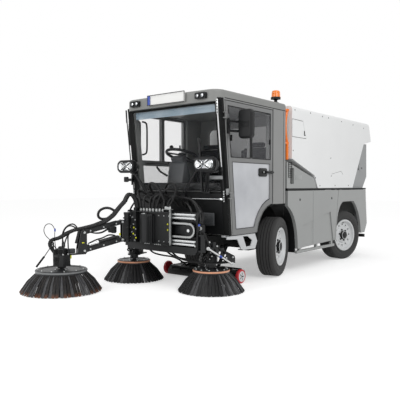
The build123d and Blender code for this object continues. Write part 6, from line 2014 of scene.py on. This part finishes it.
# ---- interior
@dataclass
class Seat:
    """One seat: shell, padded cushion, padded back and head rest."""

    side: str
    x: float
    swell: float = 14.0

    def build(self) -> None:
        """Build the seat's hard parts and its pads."""
        x = self.x
        shell = [block((300, 420, 78), (x, 985, 922), 12), block((420, 470, 14), (x, 985, 968), 6)]
        shell.append(block((380, 26, 480), seat((x, 1216, 1262), (0, 0.12, 1)), 10))
        done(shell, f"seat_shell_{self.side}", TRIM_BLACK)
        cushion = self._pad((416, 470, 78), seat((x, 978, 1020)), 26)
        self._finish(cushion, f"seat_cushion_{self.side}")
        back = self._pad((404, 440, 84), seat((x, 1171, 1262), (0, -1, 0.12)), 26)
        self._finish(back, f"seat_back_{self.side}")
        rest = self._pad((236, 56, 76), seat((x, 1205, 1530), (0, -1, 0.12)), 22)
        self._finish(rest, f"seat_rest_{self.side}")
        belt = block((46, 4, 120), seat((x + 232, 1120, 960), (0, 0.2, 1), (0, 1, 0)), 1.5)
        done(belt, f"seat_belt_{self.side}", SEAL_BLACK)

    def _pad(self, size: Point, place: Matrix, soft: float) -> Piece:
        """Make a padded block whose skin swells under pressure, with two sewn channels.

        Args:
            size: its three lengths.
            place: where its middle sits.
            soft: the radius of its edges.

        Returns:
            The pad.
        """
        piece = block(size, Matrix(), soft)
        self._inflate(piece)
        wide, long_ = (v * MM for v in size[:2])
        for vertex in piece.data.vertices:
            if vertex.co.z > 0:
                near = min(
                    abs(abs(vertex.co.x) - wide * 0.33), abs(vertex.co.y + long_ * 0.2),
                    abs(vertex.co.y - long_ * 0.14))
                vertex.co.z -= 0.006 * exp(-((near / 0.009) ** 2))
        return put(piece, place)

    def _inflate(self, piece: Piece) -> None:
        """Swell the skin with a short cloth simulation, capped, then smooth it once.

        Args:
            piece: the pad.
        """
        modify(piece, "REMESH", mode="VOXEL", voxel_size=0.009)
        rest = [v.co.copy() for v in piece.data.vertices]
        low = min(v.z for v in rest)
        foot = piece.vertex_groups.new(name="foot")
        foot.add([i for i, v in enumerate(rest) if v.z < low + 0.012], 1.0, "REPLACE")
        bpy.ops.object.modifier_add(type="CLOTH")
        cloth = piece.modifiers[-1]
        cloth.settings.use_pressure = True
        cloth.settings.uniform_pressure_force = 4.0
        cloth.settings.effector_weights.gravity = 0.0
        cloth.settings.vertex_group_mass = "foot"
        cloth.settings.quality = 4
        cloth.point_cache.frame_start, cloth.point_cache.frame_end = 1, 20
        scene = bpy.context.scene
        for step in range(1, 21):
            scene.frame_set(step)
        pick(piece)
        bpy.ops.object.modifier_apply(modifier=cloth.name)
        for vertex, start in zip(piece.data.vertices, rest):
            move = vertex.co - start
            if move.length > self.swell * MM:
                vertex.co = start + move.normalized() * self.swell * MM
        scene.frame_set(1)
        modify(piece, "SUBSURF", levels=1, render_levels=1)

    def _finish(self, piece: Piece, name: str) -> None:
        done(piece, name, SEAT_CLOTH, "chassis", 60)


@dataclass
class CabInside:
    """Dashboard, console, wheel grip, pedals and floor mat."""

    wheel: Point = (-190.0, 467.0, 1396.0)
    wheel_radius: float = 178.0

    def build(self) -> None:
        """Build the fixed pieces behind the windscreen."""
        wheel_seat = seat(self.wheel, (0, 0.35, 1))
        grip = lathe([
            (self.wheel_radius + 16.5 * cos(a), 16.5 * sin(a))
            for a in (k * tau / 12 for k in range(12))], wheel_seat, 56, closed=True)
        knob = lathe([
            (0, 62), (14, 60), (22, 50), (24, 38), (16, 24), (8, 20), (8, 8),
            (0, 8)], seat((-250, 343, 1444), (0, 0.35, 1)), 24)
        hub = lathe([(0, 26), (20, 25), (34, 20), (44, 10), (44, 0), (0, 0)], wheel_seat, 32)
        done([grip, knob, hub], "steering_grip", TRIM_BLACK)
        cone = [
            plate(
                [(-20, 585), (260, 585), (228, 800), (150, 1180), (96, 1330), (44, 1310), (0, 1060)], 236,
                seat((-308, 330, 0), (1, 0, 0), (0, 1, 0)), 26),
            block((170, 70, 110), seat((-190, 418, 1330), (0, -0.6, 1)), 14)]
        done(cone, "console_shell", CONSOLE_GREY)
        dash = [
            bar((-560, 232, 1040), (560, 232, 1040), 60, 90, (0, 1, 0), 14),
            bar((-435, 150, 1300), (-110, 150, 1300), 14, 26, (0, 1, 0), 4),
            block((150, 30, 110), seat((420, 300, 1180), (0, -1, 0.3)), 6), rod((420, 280, 1060), (420, 306, 1140), 12)]
        done(dash, "dashboard", TRIM_BLACK)
        stalk = hose([(-440, 320, 1267), (-400, 310, 1225), (-330, 300, 1190), (-264, 300, 1163)], 12)
        done(stalk, "dash_stalk", TRIM_BLACK, smooth=40)
        pedals = [block((70, 10, 100), seat((x, 330, 660), (0, -0.6, 1)), 4) for x in (-60, 40)]
        done(pedals, "pedals", TRIM_BLACK)
        mat = [
            block((1020, 560, 8), (0, 560, 590), 3),
            *[block((1000, 6, 4), (0, 320 + 30 * k, 595), 1) for k in range(16)]]
        done(mat, "floor_mat", SEAL_BLACK)
        arm = [block((60, 280, 46), (x, 1010, 1190), 14) for x in (-90, 96)]
        arm.append(rod((96, 900, 1200), (96, 884, 1268), 12, 20, 3))
        done(arm, "arm_rests", TRIM_BLACK)


# ---- body
@dataclass
class HopperTrim:
    """Fasteners, hatch catches and seams of the hopper and the tailgate."""

    seam_x: float = 650.3
    hatch_outline: tuple[Flat, ...] = ((1491, 1633), (1845, 1630), (1761, 1840), (1491, 1846))

    def build(self) -> None:
        """Build the pieces of both sides."""
        heads = []
        for s in (1, -1):
            for y, z in (
                (1560, 1955), (1960, 1960), (2300, 1950), (2480, 1950), (2900, 1940), (3300, 1930), (3700, 1915),
                (1520, 1470), (2110, 1150), (2240, 1050), (2700, 1052), (3150, 1052), (2560, 1420), (2580, 1180)):
                heads.append(flank(s, y, z))
        rivets = copies(lathe([(0, 2.4), (5, 2.2), (8, 1), (9, 0), (0, 0)], Matrix(), 16), heads)
        done(rivets, "hopper_fasteners", BOLT_DARK, "hopper")
        for s, side in SIDES:
            catch = [plate([(-9, -22), (9, -22), (9, 22), (-9, 22)], 4, flank(s, 1800, 1700), 1.5),
                     block((4, 34, 12), (s * 651, 1812, 1670), 1.5)]
            done(catch, f"hatch_catch_{side}", TRIM_BLACK, "hopper")
            seam = [
                bar((s * self.seam_x, 2580, 1205), (s * self.seam_x, 2890, 1250), 1.6, 4, soft=0.4),
                bar((s * self.seam_x, 2890, 1250), (s * self.seam_x, 2960, 1205), 1.6, 4, soft=0.4)]
            done(seam, f"hopper_side_seam_{side}", SEAM_GREY, "hopper")
        line = rim(self.hatch_outline, 3.4, 2.6, wall(647.2), 0.4)
        done(mirrored(line), "hatch_line_right", SEAL_BLACK, "hopper")
        done(line, "hatch_line_left", SEAL_BLACK, "hopper")
        seal = [bar((s * 536, 3829, 1080), (s * 536, 3880, 1660), 12, 10, soft=3) for s in (1, -1)]
        seal.append(bar((-536, 3826, 1078), (536, 3826, 1078), 10, 12, (0, 1, 0), 3))
        done(seal, "bin_seal", SEAL_BLACK, "hopper")
        ribs = [bar((x, 3862, 1110), (x, 3901, 1630), 34, 8, soft=3) for x in (-380, -190, 0, 190, 380)]
        done(ribs, "tailgate_ribs", HOPPER_WHITE, "tailgate")
        grips = [rod((s * 300, 3884, 1150), (s * 300, 3899, 1290), 9) for s in (1, -1)]
        grips += [rod((s * 300, 3864, z), (s * 300, 3890, z + 3), 7) for s in (1, -1) for z in (1156, 1284)]
        done(grips, "tailgate_grips", TRIM_BLACK, "tailgate")


@dataclass
class SideTrim:
    """Vents, blank plates, catches and seams on the lower body, front arches' lips and rear lugs."""

    seam_x: float = 650.4
    lip_x: float = 640.0

    def build(self) -> None:
        """Build the pieces of both sides, then the rear."""
        for s, side in SIDES:
            slats = [
                block((70, 7, 7), flank(s, 1446, 1170 + 22 * k) @ Matrix.Rotation(0.3, 4, "X"), 1.5) for k in range(7)]
            slats.append(rim([(-44, -92), (44, -92), (44, 92), (-44, 92)], 9, 5, flank(s, 1446, 1236), 2))
            done(slats, f"side_vent_{side}", TRIM_BLACK)
            sheet = plate([(-82, -28), (82, -28), (82, 28), (-82, 28)], 1.6, flank(s, 1656, 1150), 0.5)
            done(sheet, f"blank_plate_{side}", PANEL_GREY)
            catch = copies(
                lathe([(0, 3), (5, 3), (6, 1.5), (14, 2.4), (17, 0), (0, 0)], Matrix(), 28),
                [flank(s, y, z) for y, z in ((3640, 1310), (1700, 880), (2600, 880))])
            done(catch, f"panel_catches_{side}", BOLT_DARK)
            seam = bar((s * self.seam_x, 2050, 300), (s * self.seam_x, 2050, 980), 1.6, 3, soft=0.4)
            done(seam, f"side_panel_seams_{side}", SEAM_GREY)
            lip = hose([
                (s * self.lip_x, 742, 560), (s * self.lip_x, 800, 690), (s * self.lip_x, 880, 800),
                (s * self.lip_x, 1010, 838), (s * self.lip_x, 1120, 842)], 9)
            done(lip, f"arch_lip_{side}", SEAL_BLACK, smooth=40)
        # Black strips in the gap between the side panels and the hopper are painted shade, where the gap lies dark.
        gaps = [bar((s * 634, 1400, 1003), (s * 634, 3840, 1003), 12, 22, soft=3) for s in (1, -1)]
        done(gaps, "deck_gap_painted_shade", SEAL_BLACK)
        lugs = [ring(12, 20, 4, flank(s, 3876, 284, 210)) for s in (1, -1)]
        done(lugs, "tow_rings", BOLT_BRIGHT)
        # Black strips in the gap between the rear panel and the hopper are painted shade, where the gap lies dark.
        strips = [bar((-600, 3832, 960), (600, 3832, 960), 10, 30, (0, 1, 0), 4),
                  bar((-600, 3818, 1000), (600, 3818, 1000), 30, 34, (0, 1, 0), 6)]
        done(strips, "rear_gap_painted_shade", SEAL_BLACK)
        spots = [seat((s * x, 3850, 520), (0, 1, 0), (-1, 0, 0)) for s in (1, -1) for x in (120, 360, 560)]
        done(bolts(14, spots), "rear_panel_bolts", BOLT_BRIGHT)
        bumper = bar((-560, 3862, 430), (560, 3862, 430), 16, 40, (0, 1, 0), 5)
        done(bumper, "rear_step_strip", TRIM_BLACK)


def main() -> None:
    """Build everything in order."""
    logging.basicConfig(level=logging.INFO, format="%(message)s")
    arm = ThirdArm()
    Studio().build()
    arm.build()
    dress_cad_nodes()
    for end in ("front", "rear"):
        for side in ("left", "right"):
            RoadWheel(end, side).build()
    side_brushes = (("left", (510.0, 100.0)), ("right", (-591.0, 98.0)))
    for side, centre in side_brushes:
        DiscBrush(f"brush_{side}", centre, 180, 339, 52, COPPER).build()
    DiscBrush("brush_third", arm.spot(arm.brush, 0, 0)[:2], 250, 406, 68, BAND_GREY).build()
    CabTrim().build()
    Lamps().build()
    FrontCarriage().build()
    for side, centre in side_brushes:
        SideBrushArm(side, centre).build()
    SuctionGear().build()
    CabInside().build()
    HopperTrim().build()
    SideTrim().build()
    for side, x in (("left", 330.0), ("right", -330.0)):
        Seat(side, x).build()
    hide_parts("seats")
    log.info("%d pieces", len(NAMES))


if __name__ == "__main__":
    main()
